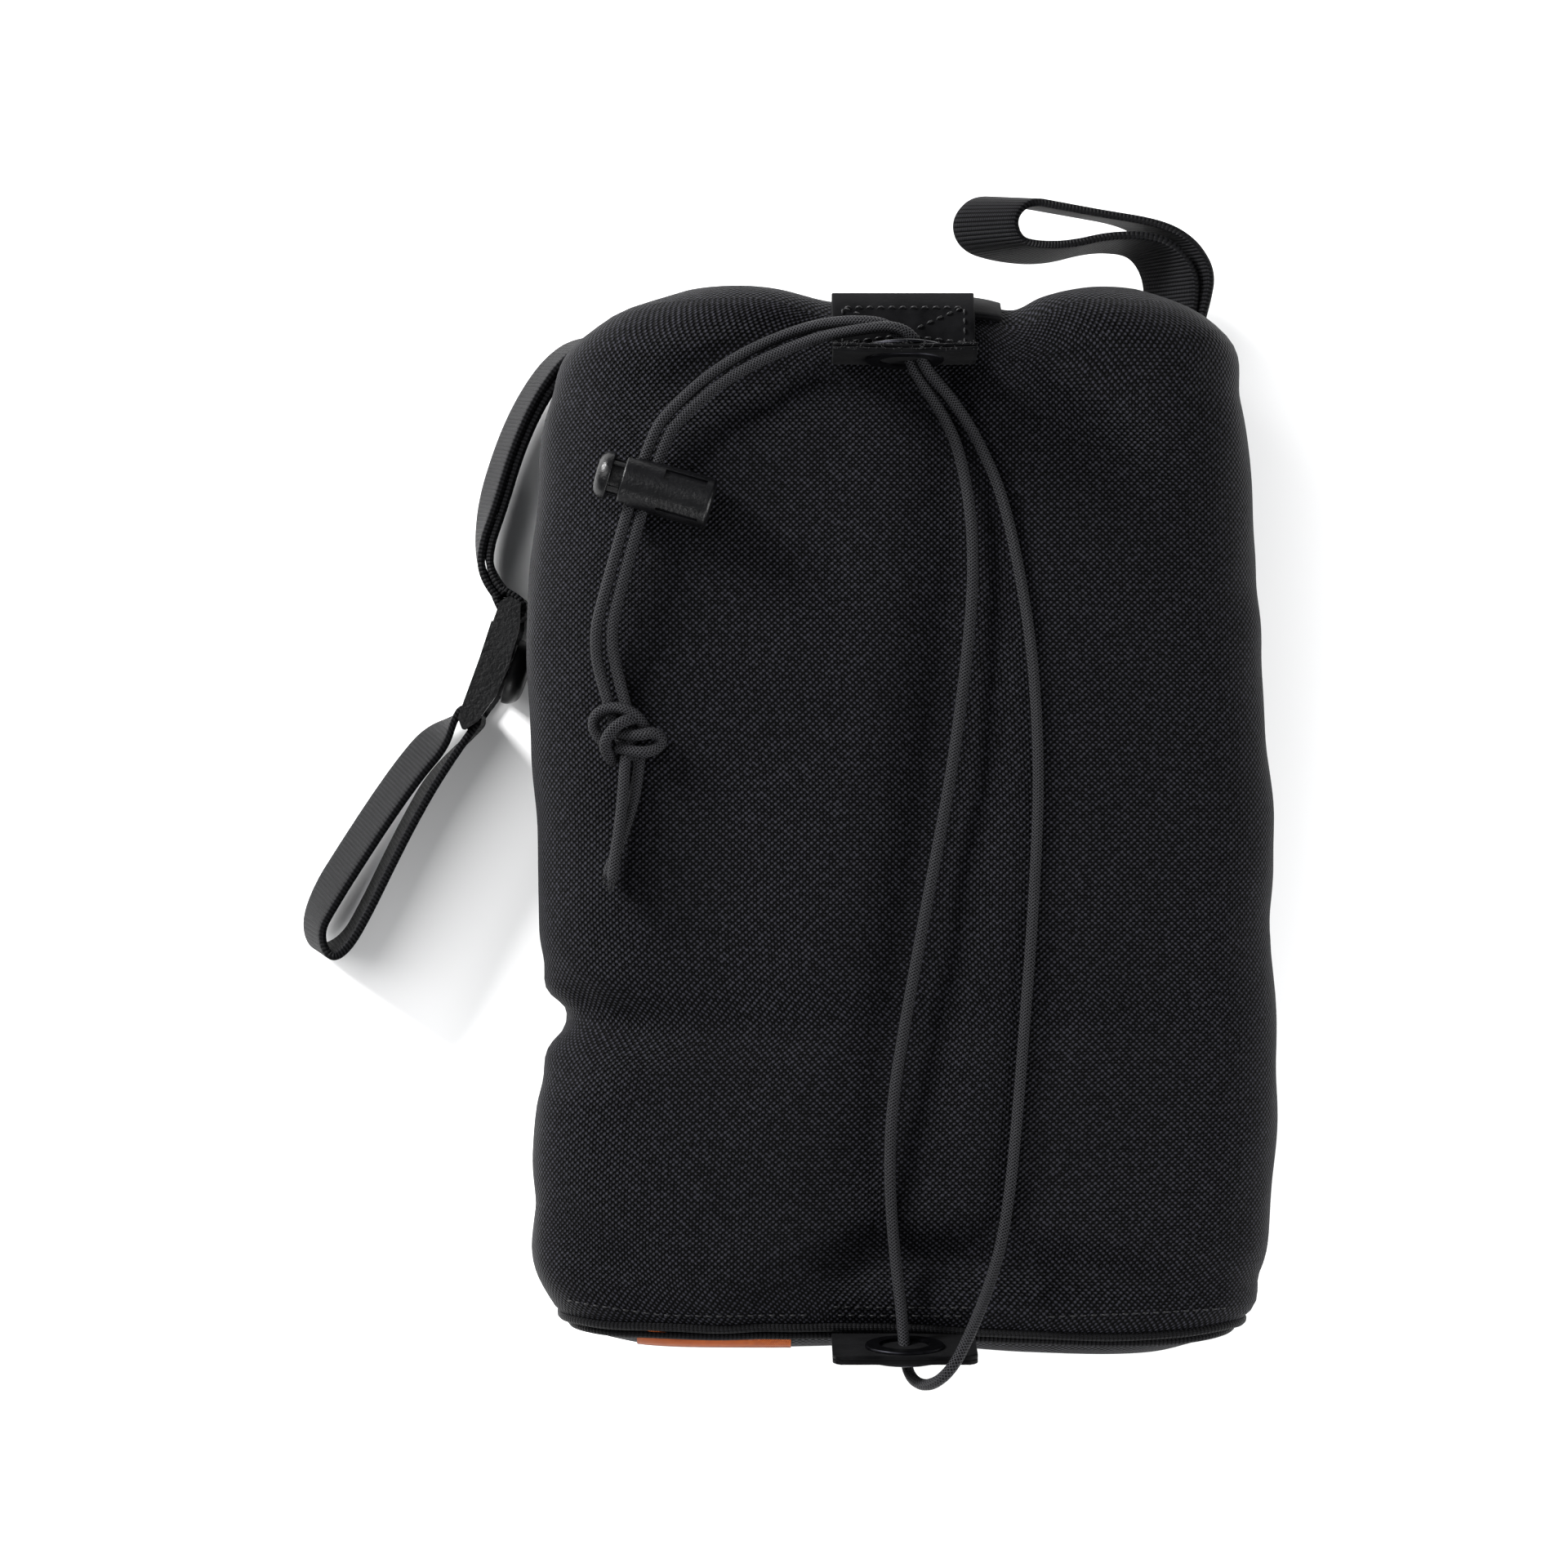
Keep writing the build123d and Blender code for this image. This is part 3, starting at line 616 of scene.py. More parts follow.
def bag_form():
    """Points of the whole closed cover, row by row from bottom to top, and the threads' place."""
    rows = row_list()
    sections = []
    around = []
    for y, drawn, size in rows:
        left = float(smooth_through(LEFT_SIDE, y))
        right = float(smooth_through(RIGHT_SIDE, y))
        x, z, walked = cross_section(left, right, drawn, FRONT_Z - drawn, size)
        pull = smooth_through(TOP_PULL, x) * smooth_step(y, PULL_FROM * MM, HALF_LENGTH)
        pull = pull - smooth_through(BOTTOM_PULL, x) * smooth_step(-y, PULL_FROM * MM, HALF_LENGTH)
        sections.append(np.stack([x, y - pull, z], -1))
        around.append(walked)
    points = np.array(sections)
    normal = outward(points)
    front = smooth_step(points[..., 2], 25 * MM, 60 * MM)
    within = smooth_step(HALF_LENGTH - np.abs(points[..., 1]), 0, 8 * MM)
    push = slow_noise(points, 55 * MM, 3) * 0.55 * MM + slow_noise(points, 22 * MM, 5) * 0.22 * MM
    push = push * (0.3 + 0.7 * front)
    for line, depth, width in FOLDS:
        push -= front * fold_depth(points, line, depth * MM, width * MM)
    for centre, height, radius in BULGES:
        gap = np.linalg.norm(points[..., :2] - np.array(centre) * MM, axis=-1)
        push += height * MM * front * np.exp(-(gap / (radius * MM)) ** 2)
    points = points + normal * (push * within)[..., None]
    points[..., 2] = np.maximum(points[..., 2], 0)
    threads = thread_grid(points, np.array(around))
    return rows, points, threads


def thread_grid(points, around):
    """Thread coordinates in metres: round the bag, and along it."""
    share = np.linspace(0, 1, AROUND + 1)
    girth = around.max()
    front = points[:, AROUND // 4]
    along = lengths(front)
    u = np.broadcast_to(share * girth, (len(points), AROUND + 1))
    v = np.broadcast_to(along[:, None], (len(points), AROUND + 1))
    return np.stack([u, v], -1)


def make_cover():
    """The cover's three panels, cut from one form so that they meet at the seams."""
    rows, points, threads = bag_form()
    at = np.array([row[0] for row in rows])
    low = int(np.searchsorted(at, SEAM_Y))
    high = int(np.searchsorted(at, TOP_SEAM_Y))
    spans = {
        "cover_wrap": (low, high),
        "cover_bottom_panel": (0, low),
        "cover_top_panel": (high, len(rows) - 1),
    }
    for name, (first, last) in spans.items():
        part = points[first:last + 1]
        place = threads[first:last + 1]
        if name != "cover_wrap":
            flat = part[..., [0, 2]]
            place = np.concatenate([flat, flat[:, :1]], 1)
        mesh = grid_mesh(name, part, place)
        piece = add_object("soft_" + name, mesh, NYLON)
        close_ends(piece, first == 0, last == len(rows) - 1)
        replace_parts(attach(piece, "bag"), name)
    make_inside(points, threads)
    return rows, points, low


def make_inside(points, threads):
    """The liner and its fill, which follow the cover a little further in."""
    for name, slot, depth, material in (
        ("fill_liner", "liner_cloth", 1.8 * MM, LINER),
        ("bead_fill", "foam_beads", 3.2 * MM, BEADS),
    ):
        inner = points - outward(points) * depth
        piece = add_object("soft_" + name, grid_mesh(name, inner, threads), material)
        close_ends(piece, True, True)
        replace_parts(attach(piece, "bag"), name)


def close_ends(piece, at_start, at_end):
    """Fills the small hole that is left in the middle of an end panel."""
    work = bmesh.new()
    work.from_mesh(piece.data)
    work.verts.ensure_lookup_table()
    count = len(work.verts)
    for wanted, ring in ((at_start, range(AROUND)), (at_end, range(count - AROUND, count))):
        if wanted:
            bmesh.ops.contextual_create(work, geom=[work.verts[i] for i in ring])
    bmesh.ops.recalc_face_normals(work, faces=work.faces)
    work.to_mesh(piece.data)
    work.free()


# ---- finding the cover's surface ----------------------------------------------------------
def surface_tree(names):
    """A search tree over the faces of several objects."""
    verts = []
    faces = []
    for name in names:
        mesh = bpy.data.objects[name].data
        start = len(verts)
        verts += [v.co.copy() for v in mesh.vertices]
        faces += [[start + i for i in p.vertices] for p in mesh.polygons]
    return BVHTree.FromPolygons(verts, faces)


def on_front(tree, x, y, lift=0.0):
    """The point of the front above (x, y), raised by lift, and the cloth's normal there."""
    place, normal, _, _ = tree.ray_cast(Vector((x, y, 0.3)), Vector((0, 0, -1)))
    if place is None:
        place, normal, _, _ = tree.find_nearest(Vector((x, y, FRONT_Z)))
    if normal.z < 0:
        normal = -normal
    return place + normal * lift, normal


def stitch_row(points, normals, pitch, size):
    """Short raised stitches along a line of points on cloth."""
    walked = lengths(np.array(points))
    meshes = []
    for distance in np.arange(pitch / 2, walked[-1] - pitch / 4, pitch):
        here = sample(points, walked, distance)
        start = sample(points, walked, max(distance - 0.34 * pitch, 0))
        end = sample(points, walked, min(distance + 0.34 * pitch, walked[-1]))
        normal = Vector(sample(normals, walked, distance)).normalized()
        lift = np.array(normal) * size * 0.5
        dip = np.array(normal) * size * -0.5
        line = np.array([start + dip, start * 0.75 + end * 0.25 + lift * 0.8, here + lift * 1.2,
                         start * 0.25 + end * 0.75 + lift * 0.8, end + dip])
        meshes.append(tube_mesh("stitch", line, np.array([0.35, 0.9, 1, 0.9, 0.35]) * size / 2, 6))
    return meshes


def sample(points, walked, distance):
    points = np.array(points, float)
    return np.array([np.interp(distance, walked, points[:, axis]) for axis in range(3)])


# ---- shock cord ---------------------------------------------------------------------------
LOCK_CENTRE = Vector(mm(-61.8, 80.8, 97.0))
LOCK_AXIS = Vector((0.9615, -0.2749, 0.0))


def lock_point(along, beside):
    """A point beside the lock: along its axis, then along the cord's way to the knot."""
    way = Vector((LOCK_AXIS.y, -LOCK_AXIS.x, 0))
    return tuple(LOCK_CENTRE + LOCK_AXIS * along * MM + way * beside * MM)


# Where each strand passes the lock along its axis, and the ends of the straight stretch.
STRAND_LEFT = -4.7
STRAND_RIGHT = -1.3
ABOVE = -12.0
BELOW = 30.0

CORD_ROUTE = [
    mm(-72.4, 26.6, 93.0),
    mm(-75.6, 36.0, 93.6),
    mm(-76.4, 45.0, 95.6),
    lock_point(STRAND_LEFT, BELOW),
    lock_point(STRAND_LEFT, ABOVE),
    mm(-56.6, 101.4, 95.8),
    mm(-48.4, 108.8, 94.0),
    mm(-39.6, 114.4, 93.2),
    mm(-30.6, 118.3, 93.6),
    mm(-21.5, 120.9, 96.2),
    mm(-13.0, 121.4, 100.2),
    mm(-5.0, 120.6, 101.4),
    mm(-0.8, 115.8, 101.6),
    mm(0.8, 110.0, 100.2),
    mm(5.0, 104.2, 95.6),
    mm(9.2, 98.0, 92.6),
    mm(12.6, 90.5, 92.0),
    mm(15.4, 76.5, 92.0),
    mm(16.2, 60.5, 92.0),
    mm(14.7, 40.7, 92.0),
    mm(10.7, 10.8, 92.0),
    mm(5.7, -15.2, 92.0),
    mm(-0.2, -47.1, 92.0),
    mm(-3.8, -69.1, 92.0),
    mm(-4.5, -85.0, 92.0),
    mm(-3.8, -99.0, 92.0),
    mm(-2.6, -111.0, 93.0),
    mm(-1.6, -120.0, 97.0),
    mm(-1.0, -128.0, 101.0),
    mm(0.0, -135.0, 104.2),
    mm(4.5, -136.4, 112.0),
    mm(10.0, -131.5, 118.0),
    mm(15.0, -122.5, 112.0),
    mm(19.2, -114.0, 102.0),
    mm(22.8, -104.0, 94.4),
    mm(25.2, -90.0, 92.0),
    mm(27.0, -71.0, 92.0),
    mm(28.7, -49.1, 92.0),
    mm(30.7, -23.1, 92.0),
    mm(32.1, 4.8, 92.0),
    mm(31.7, 24.8, 92.0),
    mm(30.1, 44.7, 92.0),
    mm(26.7, 64.7, 92.0),
    mm(22.8, 80.7, 92.0),
    mm(17.4, 92.5, 92.2),
    mm(13.4, 99.0, 93.6),
    mm(8.6, 105.0, 97.4),
    mm(3.2, 110.6, 102.2),
    mm(2.1, 116.2, 104.6),
    mm(-3.0, 119.8, 105.0),
    mm(-12.6, 118.8, 103.2),
    mm(-21.2, 117.6, 98.8),
    mm(-29.6, 114.9, 95.2),
    mm(-37.9, 111.2, 94.0),
    mm(-46.2, 106.2, 94.4),
    mm(-53.8, 99.4, 96.0),
    lock_point(STRAND_RIGHT, ABOVE),
    lock_point(STRAND_RIGHT, BELOW),
    mm(-72.4, 43.8, 95.6),
    mm(-70.8, 35.2, 93.8),
    mm(-68.6, 27.0, 93.0),
]
TAIL_ROUTES = [
    [mm(-68.9, 15.4, 94.2), mm(-69.4, 7.5, 94.6), mm(-70.1, 0, 94.9), mm(-71.3, -8, 94.9),
     mm(-72.2, -15.6, 94.6)],
    [mm(-65.4, 15.6, 92.3), mm(-66.2, 7.5, 91.9), mm(-68.4, 0, 91.8), mm(-71.0, -7.5, 91.8),
     mm(-73.6, -14.2, 91.8)],
]
KNOT_ROUTES = [
    [mm(-73.2, 18.0, 91.8), mm(-76.6, 21.0, 92.2), mm(-76.8, 25.4, 93.2), mm(-73.0, 27.6, 94.0),
     mm(-68.4, 27.0, 94.6), mm(-64.4, 23.8, 94.0), mm(-63.4, 20.4, 92.2)],
    [mm(-65.4, 24.8, 93.0), mm(-67.4, 24.8, 95.0), mm(-70.4, 23.6, 96.2), mm(-73.4, 20.6, 96.2),
     mm(-74.2, 17.0, 95.0), mm(-71.8, 14.2, 92.4)],
    [mm(-70.8, 21.4, 93.2), mm(-66.4, 20.4, 95.6), mm(-61.8, 21.6, 95.0), mm(-59.6, 19.4, 93.8),
     mm(-62.0, 16.8, 94.6), mm(-66.4, 16.4, 95.6), mm(-71.0, 17.8, 93.6)],
    [mm(-72.4, 27.4, 92.8), mm(-71.6, 22.0, 92.0), mm(-68.8, 17.6, 92.2), mm(-65.4, 14.8, 92.2)],
    [mm(-68.6, 27.6, 92.8), mm(-67.0, 22.6, 92.4), mm(-68.0, 18.0, 93.0), mm(-68.9, 14.6, 94.0)],
]


def make_cord():
    line = nurbs_line(CORD_ROUTE, 10)
    cord = add_object("shock_cord_braided", tube_mesh("shock_cord_braided", line, CORD_R), BRAID)
    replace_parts(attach(cord, "bag"), "shock_cord")
    knot = make_knot()
    tails = [make_tail(number, route) for number, route in enumerate(TAIL_ROUTES)]


def make_knot():
    turns = []
    for route in KNOT_ROUTES:
        turns.append(tube_mesh("turn", nurbs_line(route, 10), CORD_R * 1.04))
    knot = joined("tied_knot", turns, BRAID)
    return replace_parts(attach(knot, "bag"), "cord_knot")


def make_tail(number, route):
    """One end of the cord, cut and slightly flared, with loose fibres."""
    line = nurbs_line(route, 12)
    size = np.full(len(line), CORD_R)
    size[-6:] *= np.array([1.02, 1.05, 1.08, 1.06, 0.9, 0.55])
    tail = add_object(f"cord_tail_{number}", tube_mesh("tail", line, size), BRAID)
    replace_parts(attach(tail, "bag"), "cord_tails")
    fibres = []
    for _ in range(26):
        way = Vector(directions(line)[-1]) + Vector([RANDOM.uniform(-0.9, 0.9) for _ in range(3)])
        start = Vector(line[-1]) + Vector([RANDOM.uniform(-0.8, 0.8) * MM for _ in range(3)])
        reach = RANDOM.uniform(0.6, 1.6) * MM
        fibre = np.array([start, start + way.normalized() * reach])
        fibres.append(tube_mesh("fibre", fibre, FIBRE_R, 4))
    tuft = joined(f"tail_fibres_{number}", fibres, THREAD)
    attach(tuft, "bag")
    return tail


# ---- webbing ------------------------------------------------------------------------------
def strip_mesh(name, points, leans, width=WEB_WIDTH, thick=WEB_THICK, shift=0.0, steps=12):
    """A strip of webbing along a route. leans holds, for each point, the direction of its width."""
    line = nurbs_line(points, steps)
    widths = nurbs_line(leans, steps)
    along = directions(line)
    half_w = width / 2
    half_t = thick / 2
    edge = 0.55 * half_t
    right = [(half_w - edge, -half_t), (half_w - edge * 0.3, -half_t * 0.7), (half_w, 0),
             (half_w - edge * 0.3, half_t * 0.7), (half_w - edge, half_t)]
    left = [(-a, -b) for a, b in right]
    profile = left[-1:] + right + left[:-1]
    steps_across = 8
    outline = []
    for start, end in zip(profile, profile[1:] + profile[:1]):
        count = steps_across if abs(start[0] - end[0]) > half_w else 1
        for step in range(count):
            t = step / count
            outline.append([a + (b - a) * t for a, b in zip(start, end)])
    outline = np.array(outline)
    rings = []
    for centre, way, lean in zip(line, along, widths):
        lean = lean / np.linalg.norm(lean)
        normal = np.cross(way, lean)
        normal /= np.linalg.norm(normal)
        rings.append(centre + np.outer(outline[:, 0], lean) + np.outer(outline[:, 1] + shift, normal))
    walked = lengths(line)
    across = np.concatenate([outline[:, 0], outline[:1, 0]])
    uv = np.stack(np.meshgrid(walked, across, indexing="ij"), -1)
    return grid_mesh(name, np.array(rings), uv, caps=True)


STRAP_ROUTE = [
    mm(-68.0, 121.0, 15.0), mm(-76.0, 123.4, 14.4), mm(-83.4, 122.4, 13.6), mm(-89.2, 118.2, 12.8),
    mm(-94.2, 111.6, 12.2), mm(-98.6, 103.6, 12.0), mm(-102.6, 93.6, 12.0), mm(-106.2, 81.4, 12.0),
    mm(-108.6, 69.6, 12.0), mm(-107.2, 62.0, 12.0), mm(-103.2, 57.4, 12.0),
]
UPRIGHT = (0, 0, 1)
STRAP_LEANS = [(0.26, -0.09, 0.96)] * 8 + [(0.1, 0, 1), UPRIGHT, UPRIGHT]
BAR_Z = 12.0        # height of the middle of the buckle's bars, in millimetres


def beside_bar(bar, way, along, aside):
    """A point beside a bar of the buckle: along a strap's way off the bar, and to its left."""
    x = bar[0] + way[0] * along - way[1] * aside
    y = bar[1] + way[1] * along + way[0] * aside
    return mm(x, y, BAR_Z)


UPPER_BAR = (-100.5, 54.4)
LOWER_BAR = (-112.1, 25.8)
STRAP_WAY = (-0.667, 0.745)
LOOP_WAY = (-0.65, -0.76)
STRAP_FOLD = [beside_bar(UPPER_BAR, STRAP_WAY, *spot) for spot in (
    (5.4, 1.2), (1.5, 2.7), (-1.7, 2.5), (-3.0, 0.0), (-1.7, -2.5), (1.5, -2.7), (5.4, -1.2))]
LOOP_ROUTE = [
    beside_bar(LOWER_BAR, LOOP_WAY, -2.9, 0.0), beside_bar(LOWER_BAR, LOOP_WAY, -1.7, -2.7),
    beside_bar(LOWER_BAR, LOOP_WAY, 1.5, -2.8), mm(-121.0, 20.6, 12.0), mm(-127.4, 13.2, 12.0),
    mm(-135.2, 2.2, 12.0), mm(-143.4, -10.4, 12.0), mm(-149.8, -20.6, 12.0), mm(-153.4, -29.0, 12.0),
    mm(-150.6, -36.0, 12.0), mm(-144.4, -33.0, 12.0), mm(-139.0, -23.4, 12.0), mm(-133.2, -11.4, 12.0),
    mm(-127.6, -0.4, 12.0), mm(-121.4, 10.6, 12.0), beside_bar(LOWER_BAR, LOOP_WAY, 1.5, 2.8),
    beside_bar(LOWER_BAR, LOOP_WAY, -1.7, 2.7), beside_bar(LOWER_BAR, LOOP_WAY, -2.9, 0.0),
]
OUTER_LEAN = (0.33, -0.25, 0.91)
TIP_LEAN = (0.3, -0.1, 0.95)
INNER_LEAN = (0.16, -0.1, 0.98)
LOOP_LEANS = [UPRIGHT] * 3 + [OUTER_LEAN] * 5 + [TIP_LEAN] * 2 + [INNER_LEAN] * 5 + [UPRIGHT] * 3


# The pull loop's near edge and, at each point, the way from its far edge to its near edge.
PULL_EDGE = [
    (mm(77.4, 126.9, 31), (12, 0, 15)),
    (mm(79.1, 132.7, 31.5), (12, 0, 15)),
    (mm(80.3, 139.9, 32), (12, 0, 15.5)),
    (mm(77.2, 146.2, 32), (11, 0, 16)),
    (mm(71.9, 150.6, 32), (9, -1, 17)),
    (mm(64.7, 153.2, 32), (8, -2, 18)),
    (mm(52.0, 155.2, 32), (9, -2.4, 17.4)),
    (mm(41.0, 157.3, 31.6), (12.4, -2.6, 15)),
    (mm(33.6, 158.8, 31), (15, -2.0, 12.6)),
    (mm(29.2, 154.4, 30.6), (16, -0.6, 12)),
    (mm(31.0, 148.6, 30.6), (16, 0.4, 12)),
    (mm(36.4, 147.4, 31), (13, 1.8, 14.6)),
    (mm(44.0, 147.6, 31.6), (8, 3.0, 18)),
    (mm(54.0, 149.9, 32), (6, 2.0, 19)),
    (mm(64.7, 149.8, 32), (8.4, 2.0, 17.6)),
    (mm(71.4, 146.6, 32), (11, 0.6, 16.4)),
    (mm(75.8, 140.6, 31.8), (12, 0, 15)),
    (mm(76.4, 133.6, 31.2), (12, 0, 15)),
    (mm(75.0, 126.9, 30.6), (12, 0, 15)),
]


def make_side_strap():
    """Doubled webbing, sewn at the corner of the bag and folded round the buckle's upper bar."""
    plies = [strip_mesh("ply", STRAP_ROUTE, STRAP_LEANS, shift=side * PLY_SHIFT) for side in (-1, 1)]
    plies.append(strip_mesh("fold", STRAP_FOLD, [UPRIGHT] * len(STRAP_FOLD)))
    strap = joined("side_strap_webbing", plies, WEBBING)
    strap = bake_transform(strap)
    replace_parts(strap, "side_strap", "strap_anchor")


def make_end_loop():
    """The long loop of webbing that hangs from the buckle's lower bar."""
    loop = joined("end_loop_webbing", [strip_mesh("loop", LOOP_ROUTE, LOOP_LEANS)], WEBBING)
    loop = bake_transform(loop)
    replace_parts(loop, "strap_end_loop")


def make_pull_loop():
    """The flattened loop of webbing at the top seam."""
    edges = [Vector(edge) for edge, _ in PULL_EDGE]
    leans = [tuple(Vector(lean).normalized()) for _, lean in PULL_EDGE]
    middles = [tuple(edge - Vector(lean) * WEB_WIDTH / 2) for edge, lean in zip(edges, leans)]
    loop = joined("pull_loop_webbing", [strip_mesh("loop", middles, leans)], WEBBING)
    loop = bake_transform(loop)
    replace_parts(loop, "pull_loop", "pull_loop_root")


# ---- eyelet tabs --------------------------------------------------------------------------
def sheet_mesh(name, route, width, thick, wave=0.0, steps=10):
    """A flat strip along a route in YZ, width across X, with a slight wave across."""
    line = nurbs_line([(0, y, z) for y, z in route], steps)
    along = directions(line)
    across = np.linspace(-width / 2, width / 2, 29)
    top = []
    low = []
    for index, (centre, way) in enumerate(zip(line, along)):
        normal = np.cross([1, 0, 0], way)
        share = index / (len(line) - 1)
        bend = wave * np.cos(across / width * 3.1) * share ** 2
        base = centre + np.outer(across, [1, 0, 0]) + np.outer(bend, normal)
        top.append(base + normal * thick / 2)
        low.append((base - normal * thick / 2)[::-1])
    rings = np.concatenate([np.array(top), np.array(low)], 1)
    walked = lengths(line)
    u = np.concatenate([across, across[::-1], across[:1]])
    uv = np.stack([np.broadcast_to(u, (len(line), len(u))),
                   np.broadcast_to(walked[:, None], (len(line), len(u)))], -1)
    mesh = grid_mesh(name, rings, uv, caps=True)
    for vertex in mesh.vertices:
        vertex.co.x += TAB_X
    return mesh


def shelf_point(along, lift):
    """A point in YZ on the top shelf: along it from its root, and lift above its middle."""
    y = TOP_SHELF_Y + along * math.sin(TAB_TILT) + lift * math.cos(TAB_TILT)
    return y, SHELF_ROOT_Z + along * math.cos(TAB_TILT) - lift * math.sin(TAB_TILT)


def make_top_tab():
    """Two layers of coated cloth over the bag's edge, turned out into a shelf."""
    reach = HALF_LENGTH - END_ROUND
    height = FRONT_Z - END_ROUND
    plies = []
    for number, lift in enumerate((-TAB_PLY_LIFT, TAB_PLY_LIFT)):
        radius = END_ROUND + 0.4 * MM + TAB_THICK / 2 + lift
        route = []
        for degrees in (58, 44, 30, 16, 4):
            turn = math.radians(degrees)
            route.append((reach + radius * math.sin(turn) - TAB_PULL, height + radius * math.cos(turn)))
        route.append((TOP_SHELF_Y + 2.2 * MM + lift, SHELF_ROOT_Z + 0.2 * MM + lift))
        for along in (2.2, 8.0, 15.0, TAB_DEPTH / MM - 0.8 * number):
            route.append(shelf_point(along * MM, lift))
        plies.append(sheet_mesh("ply", route, TAB_WIDTH, TAB_PLY, wave=0.4 * MM))
    tab = joined("top_tab_cloth", plies, COATED)
    soften(tab, EDGE_SOFT)
    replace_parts(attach(tab, "bag"), "top_tab")
    frayed_edge("top_tab_fray", [shelf_point(TAB_DEPTH, lift) for lift in (0.6 * MM, -0.6 * MM)])
    tab_stitches()


def soften(piece, width):
    """Rounds a piece's sharp edges."""
    bevel = piece.modifiers.new("soft_edges", "BEVEL")
    bevel.width = width
    bevel.segments = 2
    bevel.limit_method = "ANGLE"


def frayed_edge(name, edges):
    """Loose fibres along a cut edge."""
    fibres = []
    for _ in range(150):
        y, z = edges[RANDOM.randrange(2)]
        x = TAB_X + RANDOM.uniform(-TAB_WIDTH / 2, TAB_WIDTH / 2)
        start = Vector((x, y, z - 0.2 * MM))
        way = Vector((RANDOM.uniform(-1, 1), RANDOM.uniform(-0.8, 0.8), RANDOM.uniform(0.2, 1.2)))
        reach = RANDOM.uniform(0.4, 1.3) * MM
        middle = start + way.normalized() * reach * 0.6
        end = middle + Vector([RANDOM.uniform(-0.4, 0.4) * MM for _ in range(3)])
        fibres.append(tube_mesh("fibre", np.array([start, middle, end]), FIBRE_R, 4))
    fray = joined(name, fibres, THREAD)
    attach(fray, "bag")


def tab_stitches():
    """Box-and-cross stitching on the part of the top tab that lies on the bag."""
    reach = HALF_LENGTH - END_ROUND - TAB_PULL
    height = FRONT_Z - END_ROUND
    radius = END_ROUND + 0.45 * MM + TAB_THICK * 0.98

    def place(x, degrees):
        turn = math.radians(degrees)
        point = (x, reach + radius * math.sin(turn), height + radius * math.cos(turn))
        return point, (0, math.sin(turn), math.cos(turn))

    half = TAB_WIDTH / 2 - 2.6 * MM
    left = TAB_X - half
    right = TAB_X + half
    lines = [
        [(left, 38), (right, 38)],
        [(left, 6), (right, 6)],
        [(left, 38), (TAB_X, 14), (right, 8)],
        [(right, 38), (TAB_X, 14), (left, 8)],
        [(left, 38), (left, 6)],
        [(right, 38), (right, 6)],
    ]
    meshes = []
    for corners in lines:
        points = []
        normals = []
        for (x0, a0), (x1, a1) in zip(corners, corners[1:]):
            for t in np.linspace(0, 1, 12):
                point, normal = place(x0 + (x1 - x0) * t, a0 + (a1 - a0) * t)
                points.append(point)
                normals.append(normal)
        meshes += stitch_row(points, normals, *TAB_STITCH)
    stitches = joined("top_tab_stitches", meshes, THREAD)
    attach(stitches, "bag")


def make_bottom_tab():
    """A flat shelf of coated cloth with rounded corners that comes out of the bottom seam."""
    plies = []
    for lift in (-TAB_PLY_LIFT, TAB_PLY_LIFT):
        route = []
        for along in (-3.6, 3.0, 9.0, 16.0, TAB_DEPTH / MM):
            y, z = shelf_point(along * MM, lift)
            route.append((y + BOTTOM_SHELF_Y - TOP_SHELF_Y, z))
        mesh = sheet_mesh("ply", route, TAB_WIDTH, TAB_PLY)
        round_corners(mesh)
        mesh.transform(MIRROR_Y)
        mesh.flip_normals()
        plies.append(mesh)
    tab = joined("bottom_tab_cloth", plies, COATED)
    soften(tab, EDGE_SOFT)
    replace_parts(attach(tab, "bag"), "bottom_tab")


def round_corners(mesh):
    """Draws in the two outer corners of a shelf."""
    radius = 3.0 * MM
    tip = max(v.co.z for v in mesh.vertices)
    for vertex in mesh.vertices:
        below = tip - vertex.co.z
        if below < radius:
            allowed = TAB_WIDTH / 2 - radius + math.sqrt(radius ** 2 - (radius - below) ** 2)
            x = vertex.co.x - TAB_X
            vertex.co.x = TAB_X + max(-allowed, min(allowed, x))


def make_patch(tree):
    """The patch of coated cloth beside the top tab, lying over the bag's upper edge."""
    low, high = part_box("top_tab_patch")
    reach = HALF_LENGTH - END_ROUND
    height = FRONT_Z - END_ROUND
    rows = []
    for degrees in np.linspace(*PATCH_SPAN, 9):
        turn = math.radians(degrees)
        way = Vector((0, math.sin(turn), math.cos(turn)))
        row = []
        for x in np.linspace(low.x - PATCH_SHIFT[0], high.x - PATCH_SHIFT[1], 9):
            start = Vector((x, reach, height)) + way * 60 * MM
            row.append(tree.ray_cast(start, -way)[0] + way * PATCH_THICK)
        rows.append(row)
    points = np.array(rows)
    uv = np.stack([points[..., 0], points[..., 1]], -1)
    patch = add_object("tab_patch_cloth", grid_mesh("patch", points, uv, wrap=False), COATED)
    thickness = patch.modifiers.new("thickness", "SOLIDIFY")
    thickness.thickness = PATCH_THICK
    soften(patch, 0.4 * MM)
    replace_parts(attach(patch, "bag"), "top_tab_patch")


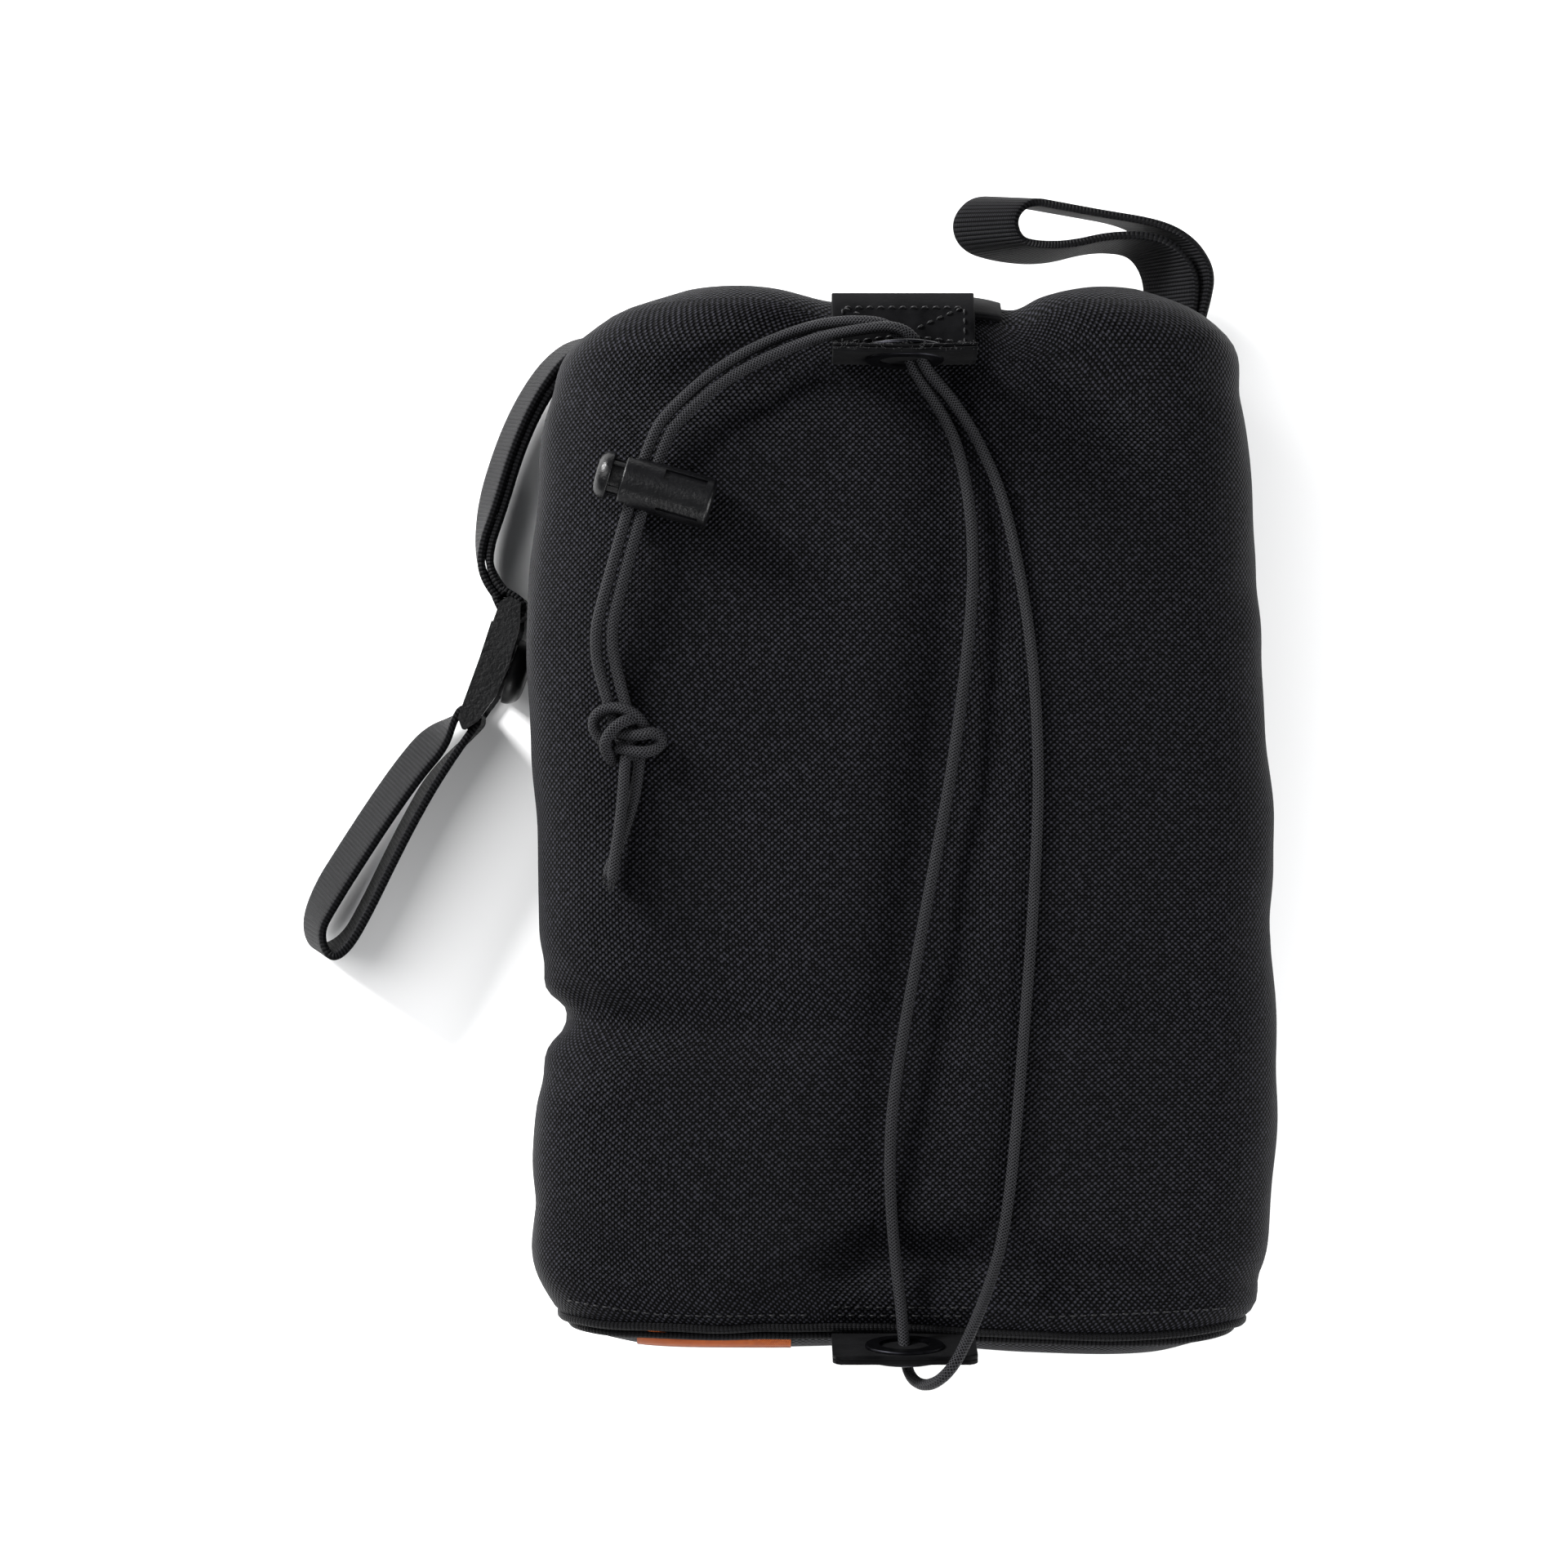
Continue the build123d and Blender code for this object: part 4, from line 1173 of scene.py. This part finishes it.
# ---- seam, label and stitching on the cover -----------------------------------------------
def make_binding(rows, points, seam_row):
    """Two ribs of tape that follow the bottom seam all the way round."""
    normal = outward(points)
    ribs = []
    for row in (seam_row - 1, seam_row):
        ring = points[row] + normal[row] * SEAM_RIB_LIFT
        ring = np.concatenate([ring, ring[:1]])
        ribs.append(tube_mesh("rib", ring, SEAM_RIB_R, 10))
    binding = joined("seam_binding_tape", ribs, TAPE)
    for vertex in binding.data.vertices:
        vertex.co.z = max(vertex.co.z, 0.0)
    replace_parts(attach(binding, "bag"), "bottom_seam_binding")


def cover_stitches(tree):
    """Rows of stitches beside the bottom seam and above the bottom tab."""
    meshes = []
    lines = [
        [mm(34, -121.6), mm(80, -120.4)],
        [mm(-84, -118.6), mm(-60, -121.6), mm(-24, -121.4)],
        [mm(-18.5, -119.4), mm(16.5, -119.4)],
        [mm(-17.5, -121.4), mm(15.5, -121.4)],
    ]
    for corners in lines:
        flat = np.array(corners)
        walked = lengths(flat)
        points = []
        normals = []
        for distance in np.linspace(0, walked[-1], 24):
            x, y = (np.interp(distance, walked, flat[:, axis]) for axis in (0, 1))
            place, normal = on_front(tree, x, y, 0.05 * MM)
            points.append(place)
            normals.append(normal)
        meshes += stitch_row(points, normals, *COVER_STITCH)
    stitches = joined("cover_stitches", meshes, THREAD)
    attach(stitches, "bag")


def make_label(tree):
    """A plain woven label that lies on the edge of the bottom panel."""
    low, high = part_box("blank_label")
    columns = np.linspace(low.x, high.x, 40)
    grid = []
    for step in range(LABEL_ROWS):
        y = SEAM_Y + LABEL_ABOVE_SEAM - step * MM
        grid.append([on_front(tree, x, y, LABEL_LIFT)[0] for x in columns])
    points = np.array(grid)
    uv = np.stack([points[..., 0], points[..., 1]], -1)
    mesh = grid_mesh("label", points, uv, wrap=False)
    label = add_object("woven_label", mesh, LABEL_CLOTH)
    thickness = label.modifiers.new("thickness", "SOLIDIFY")
    thickness.thickness = LABEL_THICK
    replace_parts(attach(label, "bag"), "blank_label")


# ---- carried-over CAD nodes ---------------------------------------------------------------
def dress_cad():
    """Finishes for the CAD pieces that stay as they are."""
    finishes = {
        "top_eyelet": EYELET_METAL,
        "top_eyelet_washer": EYELET_METAL,
        "bottom_eyelet": EYELET_METAL,
        "bottom_eyelet_washer": EYELET_METAL,
        "cord_lock_barrel": LOCK_PLASTIC,
        "cord_lock_plunger": LOCK_PLASTIC,
        "cord_lock_spring": SPRING_STEEL,
        "strap_buckle": BUCKLE_PLASTIC,
        "snap_stud": STUD_PLASTIC,
        "snap_magnet": MAGNET_METAL,
    }
    for name, material in finishes.items():
        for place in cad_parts[name].material_slots:
            place.material = material


# ---- the whole object ---------------------------------------------------------------------
make_camera()
make_cord()
make_floor()
make_light()
ROWS, COVER_POINTS, SEAM_ROW = make_cover()
COVER_TREE = surface_tree(["soft_cover_wrap", "soft_cover_bottom_panel", "soft_cover_top_panel"])
make_binding(ROWS, COVER_POINTS, SEAM_ROW)
make_label(COVER_TREE)
cover_stitches(COVER_TREE)
make_top_tab()
make_bottom_tab()
make_patch(COVER_TREE)
make_side_strap()
make_end_loop()
make_pull_loop()
dress_cad()
